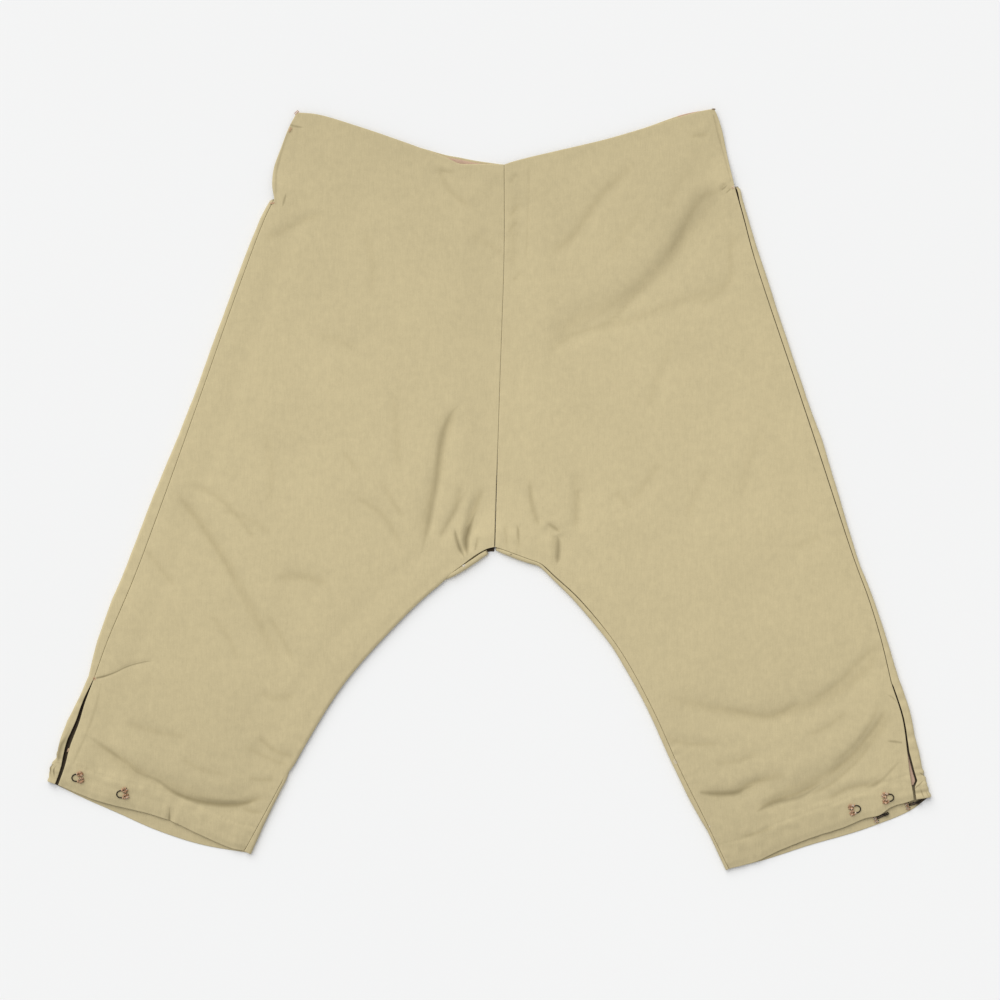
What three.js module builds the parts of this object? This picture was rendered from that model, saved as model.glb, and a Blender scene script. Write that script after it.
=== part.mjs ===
/*
 * Three-quarter pants in cotton sateen, laid out flat with the front upwards.
 *
 * Two front and two back halves of cloth lie on each other. Each back rolls over the fold at the side
 * and at the inseam, and comes back on top as a narrow strip, so that these seams lie a little inside
 * the outline. The hips are open at the waist and the legs have a slit at the hem, which hooks and
 * eyes close. Thin pink facings show behind the dip of the waist and inside one slit.
 *
 * Units are millimetres. +X is the wearer's left, +Y is towards the waist and +Z is up. The origin is
 * the middle of the covered area, on the surface that the garment lies on.
 */
import * as THREE from 'three';

/* ---------- Cloth and wire ---------- */

const CLOTH = 1.2;                                // wall of the main cloth
const FACING = 1.0;                               // wall of the facings
const GAP = 0.3;                                  // free space between two pieces
const ROLL_SPACE = 2.4;                           // free height inside a rolled edge
const ROLL_RADIUS = (ROLL_SPACE + CLOTH) / 2;     // middle of the wall round a rolled edge
const ROLL_REACH = ROLL_RADIUS + CLOTH / 2;       // from the centre of the roll to its outside
const BACK_LEVEL = CLOTH / 2;                     // middle of the back's wall, lying on the surface
const STRIP_LEVEL = BACK_LEVEL + 2 * ROLL_RADIUS; // middle of the strip that comes back on top
const REST_LEVEL = BACK_LEVEL + CLOTH + GAP;      // middle of a front that lies on the back
const BACK_INSET = 0.5;                           // the back's open edges lie this far under the front

const WIRE = 1.0;                                 // diameter of the hooks' and eyes' wire
const WIRE_SIDES = 6;
const EYE_STEPS = 28;
const HOOK_STEPS = 38;

/* ---------- How the fronts lie ---------- */

const SEAM_PLATEAU = 9;                           // width of the raised cloth beside a rolled seam
const SEAM_SLOPE = 26;                            // and of the slope from there down to the middle
const BAND_LIFT = CLOTH + 0.1;                    // rise over the turned waist edge and the hem
const BAND_PLATEAU = 23;
const BAND_SLOPE = 9;
const WAIST_PLATEAU = 4;
const WAIST_SLOPE = 40;
const PUFF = 2.4;                                 // spring of the cloth away from its edges
const PUFF_SLOPE = 45;
const EDGE_FOLD_SHARE = 0.35;                     // share of a fold's height left at an edge
const EDGE_FOLD_SLOPE = 16;

/* ---------- Rows and columns of the cloth grids ---------- */

// Shares of the way from the waist to the hem
const OPENING_END = 0.13;
const CROTCH = 0.49;
const INSEAM_ROLL_START = 0.501;
const INSEAM_BEND = 0.57;
const SLIT_TOP = 0.85;
const SPANS = [
  { from: 0, to: OPENING_END, rows: 4 },
  { from: OPENING_END, to: CROTCH, rows: 11 },
  { from: CROTCH, to: INSEAM_ROLL_START, rows: 1 },
  { from: INSEAM_ROLL_START, to: INSEAM_BEND, rows: 3 },
  { from: INSEAM_BEND, to: SLIT_TOP, rows: 8 },
  { from: SLIT_TOP, to: 1, rows: 6 },
];
const FRONT_COLUMNS = 22;
const BACK_COLUMNS = 7;
const STRIP_STEPS = 1;
const ROLL_STEPS = 4;
const PATH_STEPS = 16;

/* ---------- Outlines: each row is x, y ---------- */

const CENTRE_SEAM = [
  [14, 308.5],
  [14, 227],
  [10, 103.5],
  [6, -20],
  [5, -55],
];

// rolls, under: at (share from waist to hem), width (how far the back shows outside the front's edge),
// gap (open space between that edge and the strip)
const RIGHT = {
  name: 'right',
  side: -1,
  waist: [
    [-163, 356],
    [-124, 344.5],
    [-90, 333],
    [-56.5, 321],
    [-40.5, 315],
    [-29, 309.5],
    [-14, 309],
  ],
  opening: [
    [-183, 358],
    [-190.5, 344],
    [-198, 325],
    [-205, 305],
    [-206.5, 289],
    [-204.5, 275.5],
  ],
  seam: [
    [-204.5, 275.5],
    [-214, 255.5],
    [-242.5, 179.5],
    [-276, 84.5],
    [-317, -29.5],
    [-338.5, -86.5],
    [-362.5, -143.5],
    [-375.5, -179.5],
  ],
  slit: [
    [-375.5, -179.5],
    [-384.5, -203.5],
    [-390, -222],
    [-398.5, -244.5],
    [-403.5, -264],
    [-410, -281.5],
  ],
  hem: [
    [-397, -287],
    [-377, -295],
    [-356, -301],
    [-327, -308],
    [-303.5, -315.5],
    [-279, -327],
    [-245.5, -341.5],
  ],
  inseam: [
    [5, -55],
    [-2.5, -57],
    [-14, -63.5],
    [-28.5, -74.5],
    [-55.5, -94],
    [-86, -122.5],
    [-139, -181.5],
    [-175.5, -238.5],
    [-206.5, -295.5],
    [-233, -344],
  ],
  backWaist: [
    [-124, 343.5],
    [-90, 332],
    [-56.5, 322],
    [-40.5, 317.5],
    [-29, 315.5],
    [-14, 312.5],
  ],
  backHem: [
    [-384, -295],
    [-353, -308.5],
    [-318, -324],
    [-275, -338],
  ],
  rolls: [
    { at: 0.13, width: 3.0, gap: GAP },
    { at: 0.16, width: 4.4, gap: GAP },
    { at: 0.43, width: 6.0, gap: GAP },
    { at: 0.52, width: 8.2, gap: GAP },
    { at: 0.58, width: 10.6, gap: GAP },
    { at: 0.74, width: 11.6, gap: GAP },
    { at: 0.80, width: 9.4, gap: GAP },
    { at: 0.85, width: 6.0, gap: GAP },
    { at: 0.88, width: 7.0, gap: 3.4 },
    { at: 0.915, width: 11.2, gap: 4.6 },
    { at: 0.945, width: 11.0, gap: 3.0 },
    { at: 0.965, width: 10.8, gap: 1.2 },
    { at: 1.00, width: 10.2, gap: 1.2 },
  ],
  under: [
    { at: 0.501, width: 5.0 },
    { at: 0.52, width: 6.2 },
    { at: 0.54, width: 5.2 },
    { at: 0.57, width: 3.2 },
    { at: 0.90, width: 2.8 },
    { at: 0.96, width: 4.4 },
    { at: 1.00, width: 7.0 },
  ],
};

const LEFT = {
  name: 'left',
  side: 1,
  waist: [
    [200, 359],
    [185, 355],
    [151.5, 344.5],
    [112.5, 333],
    [62, 321],
    [38.5, 315.5],
    [21.5, 311],
  ],
  opening: [
    [213.5, 361.5],
    [217, 353.5],
    [221, 341],
    [227, 312.5],
    [233, 287],
  ],
  seam: [
    [233, 287],
    [241, 258.5],
    [251.5, 219.5],
    [290, 103.5],
    [309, 46.5],
    [346.5, -67.5],
    [360.5, -105.5],
    [372, -143.5],
    [381.5, -183.5],
  ],
  slit: [
    [381.5, -183.5],
    [392.5, -218.5],
    [397, -250],
    [399.5, -270.5],
    [403.5, -295.5],
  ],
  hem: [
    [394.5, -298.5],
    [382, -302.5],
    [371, -310],
    [356.5, -313.5],
    [337.5, -321.5],
    [306.5, -331.5],
    [274, -344.5],
    [254, -354],
  ],
  inseam: [
    [5, -55],
    [12.5, -57.5],
    [37.8, -66.8],
    [48.8, -71],
    [63, -83.6],
    [86, -105],
    [124, -153],
    [155.5, -210],
    [181, -266.5],
    [204, -312.5],
    [227.5, -361],
  ],
  backWaist: [
    [185, 356.5],
    [151.5, 345],
    [112.5, 332],
    [62, 319.5],
    [38.5, 314],
  ],
  backHem: [
    [400, -306],
    [358, -323],
    [337.5, -329.5],
    [305.5, -338.5],
    [259, -353.5],
  ],
  rolls: [
    { at: 0.13, width: 3.0, gap: GAP },
    { at: 0.18, width: 4.5, gap: GAP },
    { at: 0.24, width: 6.0, gap: GAP },
    { at: 0.44, width: 5.4, gap: GAP },
    { at: 0.50, width: 7.0, gap: GAP },
    { at: 0.59, width: 5.4, gap: GAP },
    { at: 0.68, width: 3.8, gap: GAP },
    { at: 0.79, width: 5.5, gap: GAP },
    { at: 0.85, width: 8.4, gap: GAP },
    { at: 0.92, width: 8.4, gap: 1.0 },
    { at: 0.94, width: 11.4, gap: 1.3 },
    { at: 0.97, width: 13.4, gap: 4.2 },
    { at: 1.00, width: 16.4, gap: 0.6 },
  ],
  under: [
    { at: 0.501, width: 3.2 },
    { at: 0.52, width: 4.0 },
    { at: 0.55, width: 3.4 },
    { at: 0.62, width: 5.0 },
    { at: 0.90, width: 4.6 },
    { at: 1.00, width: 2.8 },
  ],
};

/*
 * The largest folds. Each is a trough of the given depth along its path, x and y, and a ridge beside
 * it: shoulder is the ridge's height as a share of the depth, on the left of the path as it runs, or on
 * its right where it is negative.
 */
const FOLDS = [
  { name: 'left hip drag', width: 11, depth: 2.6, shoulder: 0.8,
    path: [[228, 283], [190, 240], [165, 210], [129, 180], [80, 156], [50, 125]] },
  { name: 'left thigh drag', width: 9, depth: 1.8, shoulder: 0.7,
    path: [[238, 198], [190, 180], [141, 162], [95, 146]] },
  { name: 'left belly', width: 10, depth: 0.9, shoulder: 0.5,
    path: [[132, 301], [105, 276], [80, 240], [53, 218]] },
  { name: 'left inner thigh', width: 7, depth: 1.4, shoulder: -0.5,
    path: [[83, 18], [82, -14], [83, -45]] },
  { name: 'left calf crescent', width: 11, depth: 2.0, shoulder: -0.7,
    path: [[152, -196], [202, -208], [262, -217], [317, -202], [359, -172], [377, -142]] },
  { name: 'left hem, inner', width: 9, depth: 2.0, shoulder: 0.7,
    path: [[195, -290], [231, -290], [262, -277], [286, -272]] },
  { name: 'left hem, outer', width: 10, depth: 2.2, shoulder: 0.7,
    path: [[249, -308], [286, -287], [328, -269], [371, -232], [383, -208]] },
  { name: 'right thigh', width: 11, depth: 1.7, shoulder: 0.6,
    path: [[-302, 1], [-277, -32], [-253, -68], [-223, -124], [-198, -172]] },
  { name: 'right crotch, long', width: 9, depth: 2.2, shoulder: 0.7,
    path: [[-29, 80], [-41, 52], [-47, 16], [-57, -20], [-64, -56]] },
  { name: 'right crotch, short', width: 6, depth: 2.4, shoulder: -0.6,
    path: [[-4, 6], [-19, -38], [-23, -66]] },
  { name: 'right knee', width: 8, depth: 1.3, shoulder: 0.6,
    path: [[-205, -86], [-180, -84], [-150, -93]] },
  { name: 'right slit top', width: 6, depth: 1.5, shoulder: 0.8,
    path: [[-377, -182], [-366, -179], [-339, -167], [-316, -162]] },
  { name: 'right hem sweep', width: 11, depth: 2.6, shoulder: 0.7,
    path: [
      [-380, -241], [-356, -259], [-325, -275], [-295, -287], [-266, -297], [-235, -300], [-208, -289],
    ] },
];

/* ---------- Hooks and eyes ---------- */

// x, y: place. heading: direction of the loop or of the hook's tip, in degrees from +X
const EYES = [
  { name: 'eye_right_outer', half: RIGHT, x: -391, y: -274, heading: 188 },
  { name: 'eye_right_inner', half: RIGHT, x: -348.5, y: -289.5, heading: 190 },
  { name: 'eye_left_inner', half: LEFT, x: 347, y: -304.5, heading: 12 },
  { name: 'eye_left_outer', half: LEFT, x: 378.5, y: -293.5, heading: 8 },
];
const HOOKS = [
  { name: 'hook_right_outer', x: -391, y: -262, heading: 195 },
  { name: 'hook_right_inner', x: -352, y: -281, heading: 195 },
  { name: 'hook_left_inner', x: 369.3, y: -312.4, heading: 23 },
  { name: 'hook_left_outer', x: 399.8, y: -300.2, heading: 17 },
];
// Rise of the fronts over hooks: x, y, height
const HOOK_RISES = [
  { x: -395, y: -263, height: 1.8 },
  { x: -356, y: -282, height: 2.8 },
  { x: 368, y: -309, height: 0.8 },
  { x: 398, y: -297, height: 0.8 },
];
const HOOK_RISE_WIDTH = 17;

const EYE_RING = { x: 3.3, y: 2.9, radius: 1.7 };
const EYE_LOOP = [[0.6, 3.8], [-2.6, 3.7], [-5.2, 2.3], [-6.2, 0]];
const HOOK_RING = { x: -2.2, y: 2.2, radius: 1.5 };
const HOOK_SHANK = 0.7;
const HOOK_LENGTH = 11;
const HOOK_BILL = { length: 4.5, rise: 1.6 };
const RING_TURN = THREE.MathUtils.degToRad(270);
const RING_STEPS = 7;

/* ---------- Facings: shares of the back or front that they lie on ---------- */

const WAIST_FACINGS = [
  {
    name: 'facing_waist_centre', half: RIGHT, from: 0.60, to: 0.992, top: 0.003, bottom: 0.022, columns: 10,
  },
  {
    name: 'facing_waist_corner', half: LEFT, from: 0.02, to: 0.17, top: 0.002, bottom: 0.015, columns: 4,
  },
];
const SLIT_FACING = { name: 'facing_slit_left', top: 0.905, bottom: 0.982, under: 7, rows: 6 };

/* ---------- Finishes ---------- */

const SATEEN = { color: '#cbbc95', roughness: 0.82, metalness: 0 };
const PINK = { color: '#c8a891', roughness: 0.85, metalness: 0 };
const BLACK_WIRE = { color: '#2b2521', roughness: 0.45, metalness: 0.8 };

/* ---------- Curves ---------- */

const planPoint = ([x, y]) => new THREE.Vector3(x, y, 0);

const smoothPath = (rows) => new THREE.CatmullRomCurve3(rows.map(planPoint), false, 'centripetal');

/* An edge from waist to hem made of stretches, each of which fills its own share of the way. */
function edgeOf(stretches, shiftX = 0) {
  const parts = stretches.map(({ from, to, rows }) => ({ from, to, curve: smoothPath(rows) }));
  const partAt = (v) => parts.find(({ to }) => v <= to) ?? parts[parts.length - 1];
  const share = ({ from, to }, v) => (v - from) / (to - from);
  return {
    at(v) {
      const part = partAt(v);
      const point = part.curve.getPointAt(share(part, v));
      point.x += shiftX;
      return point;
    },
    heading(v) {
      const part = partAt(v);
      return part.curve.getTangentAt(share(part, v));
    },
    line(from, to) {
      const steps = 3 * PATH_STEPS;
      return Array.from({ length: steps + 1 }, (_, k) => this.at(from + ((to - from) * k) / steps));
    },
  };
}

/* Nearest point of a broken line: distance, its sign by side, and its share along the line. */
function nearestOn(line, x, y) {
  let best = { distance: Infinity, left: 1, share: 0 };
  for (let k = 0; k < line.length - 1; k++) {
    const start = line[k];
    const dx = line[k + 1].x - start.x;
    const dy = line[k + 1].y - start.y;
    const along = ((x - start.x) * dx + (y - start.y) * dy) / (dx * dx + dy * dy);
    const t = THREE.MathUtils.clamp(along, 0, 1);
    const offX = x - start.x - t * dx;
    const offY = y - start.y - t * dy;
    const distance = Math.hypot(offX, offY);
    if (distance < best.distance) {
      best = { distance, left: Math.sign(dx * offY - dy * offX) || 1, share: (k + t) / (line.length - 1) };
    }
  }
  return best;
}

/* Value of one column of a table of rows at a share of the way, straight between its rows. */
function readTable(rows, column, at) {
  const next = Math.max(1, rows.findIndex((row) => row.at >= at));
  const [a, b] = [rows[next - 1], rows[next]];
  const t = THREE.MathUtils.clamp((at - a.at) / (b.at - a.at), 0, 1);
  return THREE.MathUtils.lerp(a[column], b[column], t);
}

/* ---------- The two halves ---------- */

/* Outward is at right angles to the heading: side is -1 or 1, and turn says which edge it is. */
function outwardOf(heading, side, turn) {
  return new THREE.Vector3(-side * turn * heading.y, side * turn * heading.x, 0);
}

function dressHalf(table) {
  const shift = (table.side * GAP) / 2;
  const outer = edgeOf([
    { from: 0, to: OPENING_END, rows: table.opening },
    { from: OPENING_END, to: SLIT_TOP, rows: table.seam },
    { from: SLIT_TOP, to: 1, rows: table.slit },
  ]);
  const inner = edgeOf([
    { from: 0, to: CROTCH, rows: CENTRE_SEAM },
    { from: CROTCH, to: 1, rows: table.inseam },
  ], shift);
  const half = { ...table, outer, inner };
  half.waistEdge = spanEdge(outer.at(0), table.waist, inner.at(0));
  half.hemEdge = spanEdge(outer.at(1), table.hem, inner.at(1));
  half.sideLines = [outer.line(OPENING_END, 1), inner.line(CROTCH, 1)];
  half.openLines = [outer.line(0, OPENING_END), inner.line(0, CROTCH)];
  half.bandLines = [half.waistEdge, half.hemEdge].map((curve) => curve.getPoints(3 * PATH_STEPS));
  return half;
}

function spanEdge(start, rows, end) {
  return smoothPath([[start.x, start.y], ...rows, [end.x, end.y]]);
}

/* Point of a panel between four edges: u runs from the outer to the inner edge, v from top to bottom. */
function panelPoint(edges, u, v) {
  const { outer, inner, top, bottom } = edges;
  const point = new THREE.Vector3();
  const add = (part, share) => point.addScaledVector(part, share);
  add(outer(v), 1 - u);
  add(inner(v), u);
  add(top.getPointAt(u), 1 - v);
  add(bottom.getPointAt(u), v);
  add(outer(0), -(1 - u) * (1 - v));
  add(inner(0), -u * (1 - v));
  add(outer(1), -(1 - u) * v);
  add(inner(1), -u * v);
  return point;
}

const frontEdges = (half) => ({
  outer: (v) => half.outer.at(v),
  inner: (v) => half.inner.at(v),
  top: half.waistEdge,
  bottom: half.hemEdge,
});

/* Distance from the front's edge to the centre line of the roll outside it. */
const rollCentre = (width, gap) => Math.max(width, gap + ROLL_REACH + GAP) - ROLL_REACH;

/* Foot of the back's flat wall: under the roll where there is one, else just inside the front's edge. */
function backFoot(half, edge, table, turn, rolled, v) {
  const outward = outwardOf(edge.heading(v), half.side, turn);
  const width = readTable(table, 'width', v);
  const reach = rolled ? rollCentre(width, gapAt(table, v)) : -BACK_INSET;
  return edge.at(v).addScaledVector(outward, reach);
}

const gapAt = (table, v) => (table[0].gap === undefined ? GAP : readTable(table, 'gap', v));

const centreFoot = (half, v) => half.inner.at(v);

function backEdges(half) {
  const outer = (v) => backFoot(half, half.outer, half.rolls, 1, v >= OPENING_END, v);
  const inner = (v) => (v < INSEAM_ROLL_START
    ? centreFoot(half, v)
    : backFoot(half, half.inner, half.under, -1, true, v));
  return {
    outer,
    inner,
    top: spanEdge(outer(0), half.backWaist, inner(0)),
    bottom: spanEdge(outer(1), half.backHem, inner(1)),
  };
}

/* ---------- Heights of the fronts ---------- */

const { smoothstep } = THREE.MathUtils;

const foldLines = FOLDS.map((fold) => ({ ...fold, line: smoothPath(fold.path).getPoints(PATH_STEPS) }));

/* A fold is a soft trough with a wider soft ridge beside it, and both die away at its ends. */
function foldHeight(fold, x, y) {
  const { distance, left, share } = nearestOn(fold.line, x, y);
  const across = distance / fold.width;
  const toRidge = (left * Math.sign(fold.shoulder) * distance) / fold.width - 1.7;
  const trough = -fold.depth * Math.exp(-across * across);
  const ridge = Math.abs(fold.shoulder) * fold.depth * Math.exp(-toRidge * toRidge);
  const fade = smoothstep(share, 0, 0.2) * smoothstep(1 - share, 0, 0.2);
  return fade * (trough + ridge);
}

const distanceTo = (lines, x, y) => Math.min(...lines.map((line) => nearestOn(line, x, y).distance));

/* Never less than zero, and almost the value itself from about one up. */
const softFloor = (value) => (value + Math.hypot(value, 0.6)) / 2;

function hookRise(x, y) {
  return HOOK_RISES.reduce((sum, rise) => {
    const away = Math.hypot(x - rise.x, y - rise.y) / HOOK_RISE_WIDTH;
    return sum + rise.height * Math.exp(-away * away);
  }, 0);
}

/* Height of the middle of a front's wall over the point x, y. */
function frontLevel(half, x, y) {
  const toSeam = distanceTo(half.sideLines, x, y);
  const [toWaist, toHem] = half.bandLines.map((line) => distanceTo([line], x, y));
  const toBand = Math.min(toWaist, toHem);
  const toEdge = Math.min(toSeam, toBand, distanceTo(half.openLines, x, y));
  const seamLift = 1 - smoothstep(toSeam, SEAM_PLATEAU, SEAM_PLATEAU + SEAM_SLOPE);
  const bandLift = 1 - Math.min(
    smoothstep(toWaist, WAIST_PLATEAU, WAIST_PLATEAU + WAIST_SLOPE),
    smoothstep(toHem, BAND_PLATEAU, BAND_PLATEAU + BAND_SLOPE),
  );
  const lift = Math.max(seamLift * (STRIP_LEVEL - REST_LEVEL), bandLift * BAND_LIFT);
  const puff = PUFF * smoothstep(toEdge, 0, PUFF_SLOPE);
  const foldShare = THREE.MathUtils.lerp(EDGE_FOLD_SHARE, 1, smoothstep(toEdge, 0, EDGE_FOLD_SLOPE));
  const folds = foldLines.reduce((sum, fold) => sum + foldHeight(fold, x, y), 0);
  return REST_LEVEL + lift + softFloor(puff + foldShare * folds) + hookRise(x, y);
}

/* ---------- Closed walls of cloth ---------- */

/*
 * Closes a wall round a grid of points on its middle surface, whose columns run towards +X and whose
 * rows run towards the hem. keep says which cells are cloth. An upright wall is thickened along Z, and
 * any other one along its own normals.
 */
function clothWall(points, thickness, { keep = () => true, upright = false } = {}) {
  const columns = points[0].length;
  const corner = (i, j) => i * columns + j;
  const flat = points.flat();
  const cells = [];
  for (let i = 0; i < points.length - 1; i++) {
    for (let j = 0; j < columns - 1; j++) {
      if (keep(i, j)) cells.push([corner(i, j), corner(i + 1, j), corner(i + 1, j + 1), corner(i, j + 1)]);
    }
  }
  const normals = flat.map(() => new THREE.Vector3(0, 0, upright ? 1 : 0));
  if (!upright) {
    for (const cell of cells) {
      const [a, b, c, d] = cell.map((k) => flat[k]);
      const normal = c.clone().sub(a).cross(d.clone().sub(b)).normalize();
      cell.forEach((k) => normals[k].add(normal));
    }
    normals.forEach((normal) => normal.normalize());
  }

  const positions = [];
  const numbers = new Map();
  const vertex = (k, up) => {
    const key = 2 * k + (up ? 1 : 0);
    if (!numbers.has(key)) {
      numbers.set(key, positions.length / 3);
      const reach = (up ? thickness : -thickness) / 2;
      positions.push(...flat[k].clone().addScaledVector(normals[k], reach).toArray());
    }
    return numbers.get(key);
  };
  const index = [];
  const quad = (a, b, c, d) => index.push(a, b, c, a, c, d);
  const rim = new Map();
  for (const cell of cells) {
    quad(...cell.map((k) => vertex(k, true)));
    quad(...[...cell].reverse().map((k) => vertex(k, false)));
    cell.forEach((a, side) => {
      const b = cell[(side + 1) % cell.length];
      if (!rim.delete(`${b},${a}`)) rim.set(`${a},${b}`, [a, b]);
    });
  }
  for (const [a, b] of rim.values()) {
    quad(vertex(a, true), vertex(a, false), vertex(b, false), vertex(b, true));
  }

  const geometry = new THREE.BufferGeometry();
  geometry.setAttribute('position', new THREE.Float32BufferAttribute(positions, 3));
  geometry.setIndex(index);
  geometry.computeVertexNormals();
  return geometry;
}

const ROWS = [0, ...SPANS.flatMap(({ from, to, rows }) => (
  Array.from({ length: rows }, (_, k) => (k === rows - 1 ? to : from + ((to - from) * (k + 1)) / rows))
))];

const shares = (count, from = 0, to = 1) => (
  Array.from({ length: count + 1 }, (_, k) => from + ((to - from) * k) / count)
);

/* Columns run towards +X, so those of the left half, which start at its outer edge, are turned round. */
const towardsLeft = (half, row) => (half.side > 0 ? row.reverse() : row);

/* ---------- Pieces ---------- */

function frontGrid(half) {
  const edges = frontEdges(half);
  return ROWS.map((v) => towardsLeft(half, shares(FRONT_COLUMNS).map((u) => {
    const point = panelPoint(edges, u, v);
    point.z = frontLevel(half, point.x, point.y);
    return point;
  })));
}

/* The rolled edge, from the strip's free edge on top, round the fold, to its foot on the surface. */
function rolledEdge(half, edge, table, turn, v) {
  const start = edge.at(v);
  const outward = outwardOf(edge.heading(v), half.side, turn);
  const gap = gapAt(table, v);
  const centre = rollCentre(readTable(table, 'width', v), gap);
  const place = (reach, z) => start.clone().addScaledVector(outward, reach).setZ(z);
  const strip = shares(STRIP_STEPS, gap, centre).slice(0, -1).map((reach) => place(reach, STRIP_LEVEL));
  const round = shares(ROLL_STEPS, Math.PI / 2, -Math.PI / 2).map((angle) => place(
    centre + ROLL_RADIUS * Math.cos(angle),
    BACK_LEVEL + ROLL_RADIUS * (1 + Math.sin(angle)),
  ));
  return [...strip, ...round];
}

function backGeometry(half) {
  const edges = backEdges(half);
  const points = ROWS.map((v) => {
    const outerRoll = rolledEdge(half, half.outer, half.rolls, 1, v);
    const innerRoll = rolledEdge(half, half.inner, half.under, -1, v).reverse();
    const flat = shares(BACK_COLUMNS).map((u) => panelPoint(edges, u, v).setZ(BACK_LEVEL));
    return towardsLeft(half, [...outerRoll.slice(0, -1), ...flat, ...innerRoll.slice(1)]);
  });
  const rollCells = STRIP_STEPS + ROLL_STEPS;
  const lastCell = 2 * rollCells + BACK_COLUMNS - 1;
  const keep = (i, j) => {
    const fromOuter = half.side > 0 ? lastCell - j : j;
    if (fromOuter < rollCells) return ROWS[i] >= OPENING_END;
    if (fromOuter > lastCell - rollCells) return ROWS[i] >= INSEAM_ROLL_START;
    return true;
  };
  return clothWall(points, CLOTH, { keep });
}

function waistFacing({ half, from, to, top, bottom, columns }) {
  const edges = backEdges(half);
  const level = CLOTH + GAP + FACING / 2;
  const points = [top, bottom].map((v) => (
    towardsLeft(half, shares(columns, from, to).map((u) => panelPoint(edges, u, v).setZ(level)))
  ));
  return clothWall(points, FACING, { upright: true });
}

/* Lies under the front's edge in the slit and reaches out as far as the strip of the back. */
function slitFacing(half) {
  const level = CLOTH + GAP + FACING / 2;
  const points = shares(SLIT_FACING.rows, SLIT_FACING.top, SLIT_FACING.bottom).map((v) => {
    const outward = outwardOf(half.outer.heading(v), half.side, 1);
    const reach = readTable(half.rolls, 'gap', v) - GAP;
    const place = (distance) => half.outer.at(v).addScaledVector(outward, distance).setZ(level);
    return [place(-SLIT_FACING.under), place(reach)];
  });
  return clothWall(points, FACING, { upright: true });
}

/* Height of the top of a front's wall over x, y, read from the cells of its grid. */
function topOf(grid, x, y) {
  const triangle = new THREE.Triangle();
  const weights = new THREE.Vector3();
  const plan = (point) => new THREE.Vector3(point.x, point.y, 0);
  for (let i = 0; i < grid.length - 1; i++) {
    for (let j = 0; j < grid[0].length - 1; j++) {
      const [a, b, c, d] = [grid[i][j], grid[i + 1][j], grid[i + 1][j + 1], grid[i][j + 1]];
      for (const corners of [[a, b, c], [a, c, d]]) {
        triangle.set(...corners.map(plan));
        triangle.getBarycoord(new THREE.Vector3(x, y, 0), weights);
        if (Math.min(weights.x, weights.y, weights.z) >= 0) {
          return weights.x * corners[0].z + weights.y * corners[1].z + weights.z * corners[2].z + CLOTH / 2;
        }
      }
    }
  }
  throw new Error(`no cloth over ${x}, ${y}`);
}

const circle = new THREE.Shape().absarc(0, 0, WIRE / 2, 0, 2 * Math.PI);

function wireGeometry(points, steps) {
  return new THREE.ExtrudeGeometry(circle, {
    steps,
    curveSegments: WIRE_SIDES / 2,
    bevelEnabled: false,
    extrudePath: new THREE.CatmullRomCurve3(points, false, 'centripetal'),
  });
}

/* Points round a ring of wire, ending at the angle where the wire leaves it. */
function ringPoints({ x, y, radius }, endAngle) {
  return shares(RING_STEPS, endAngle - RING_TURN, endAngle).map((angle) => (
    new THREE.Vector3(x + radius * Math.cos(angle), y + radius * Math.sin(angle), 0)
  ));
}

/* The wire's other half: the same points mirrored in Y, run backwards. */
const mirrored = (points) => points.map(({ x, y, z }) => new THREE.Vector3(x, -y, z)).reverse();

/* A ring, the loop and the other ring. It is drawn with the loop towards -X and then turned about. */
function eyePath() {
  const loop = EYE_LOOP.map(planPoint);
  const half = [...ringPoints(EYE_RING, Math.PI / 2), ...loop.slice(0, -1)];
  const whole = [...half, loop[loop.length - 1], ...mirrored(half)];
  return whole.map(({ x, y, z }) => new THREE.Vector3(-x, -y, z));
}

/* Two strands side by side that bend up and back over themselves at the tip. */
function hookPath() {
  const at = (x, y, z) => new THREE.Vector3(x, y, z);
  const { length, rise } = HOOK_BILL;
  const half = [
    ...ringPoints(HOOK_RING, 1.5 * Math.PI),
    at(1.5, HOOK_SHANK, 0),
    at(HOOK_LENGTH - 1.5, HOOK_SHANK, 0),
    at(HOOK_LENGTH - 0.2, HOOK_SHANK, rise / 2),
    at(HOOK_LENGTH - 1.5, HOOK_SHANK, rise),
    at(HOOK_LENGTH - length, HOOK_SHANK, rise),
  ];
  return [...half, at(HOOK_LENGTH - length - 0.8, 0, rise), ...mirrored(half)];
}

function placeWire(path, { x, y, heading }, levelAt) {
  const turn = THREE.MathUtils.degToRad(heading);
  return path.map((point) => {
    const placed = point.clone().applyAxisAngle(new THREE.Vector3(0, 0, 1), turn);
    placed.add(new THREE.Vector3(x, y, 0));
    placed.z += levelAt(placed.x, placed.y) + GAP + WIRE / 2;
    return placed;
  });
}

/* ---------- The garment ---------- */

const pants = new THREE.Group();
const halves = new Map([RIGHT, LEFT].map((table) => [table, dressHalf(table)]));

function addPiece(name, geometry, look) {
  const mesh = new THREE.Mesh(geometry, new THREE.MeshStandardMaterial(look));
  mesh.name = name;
  pants.add(mesh);
}

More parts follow.
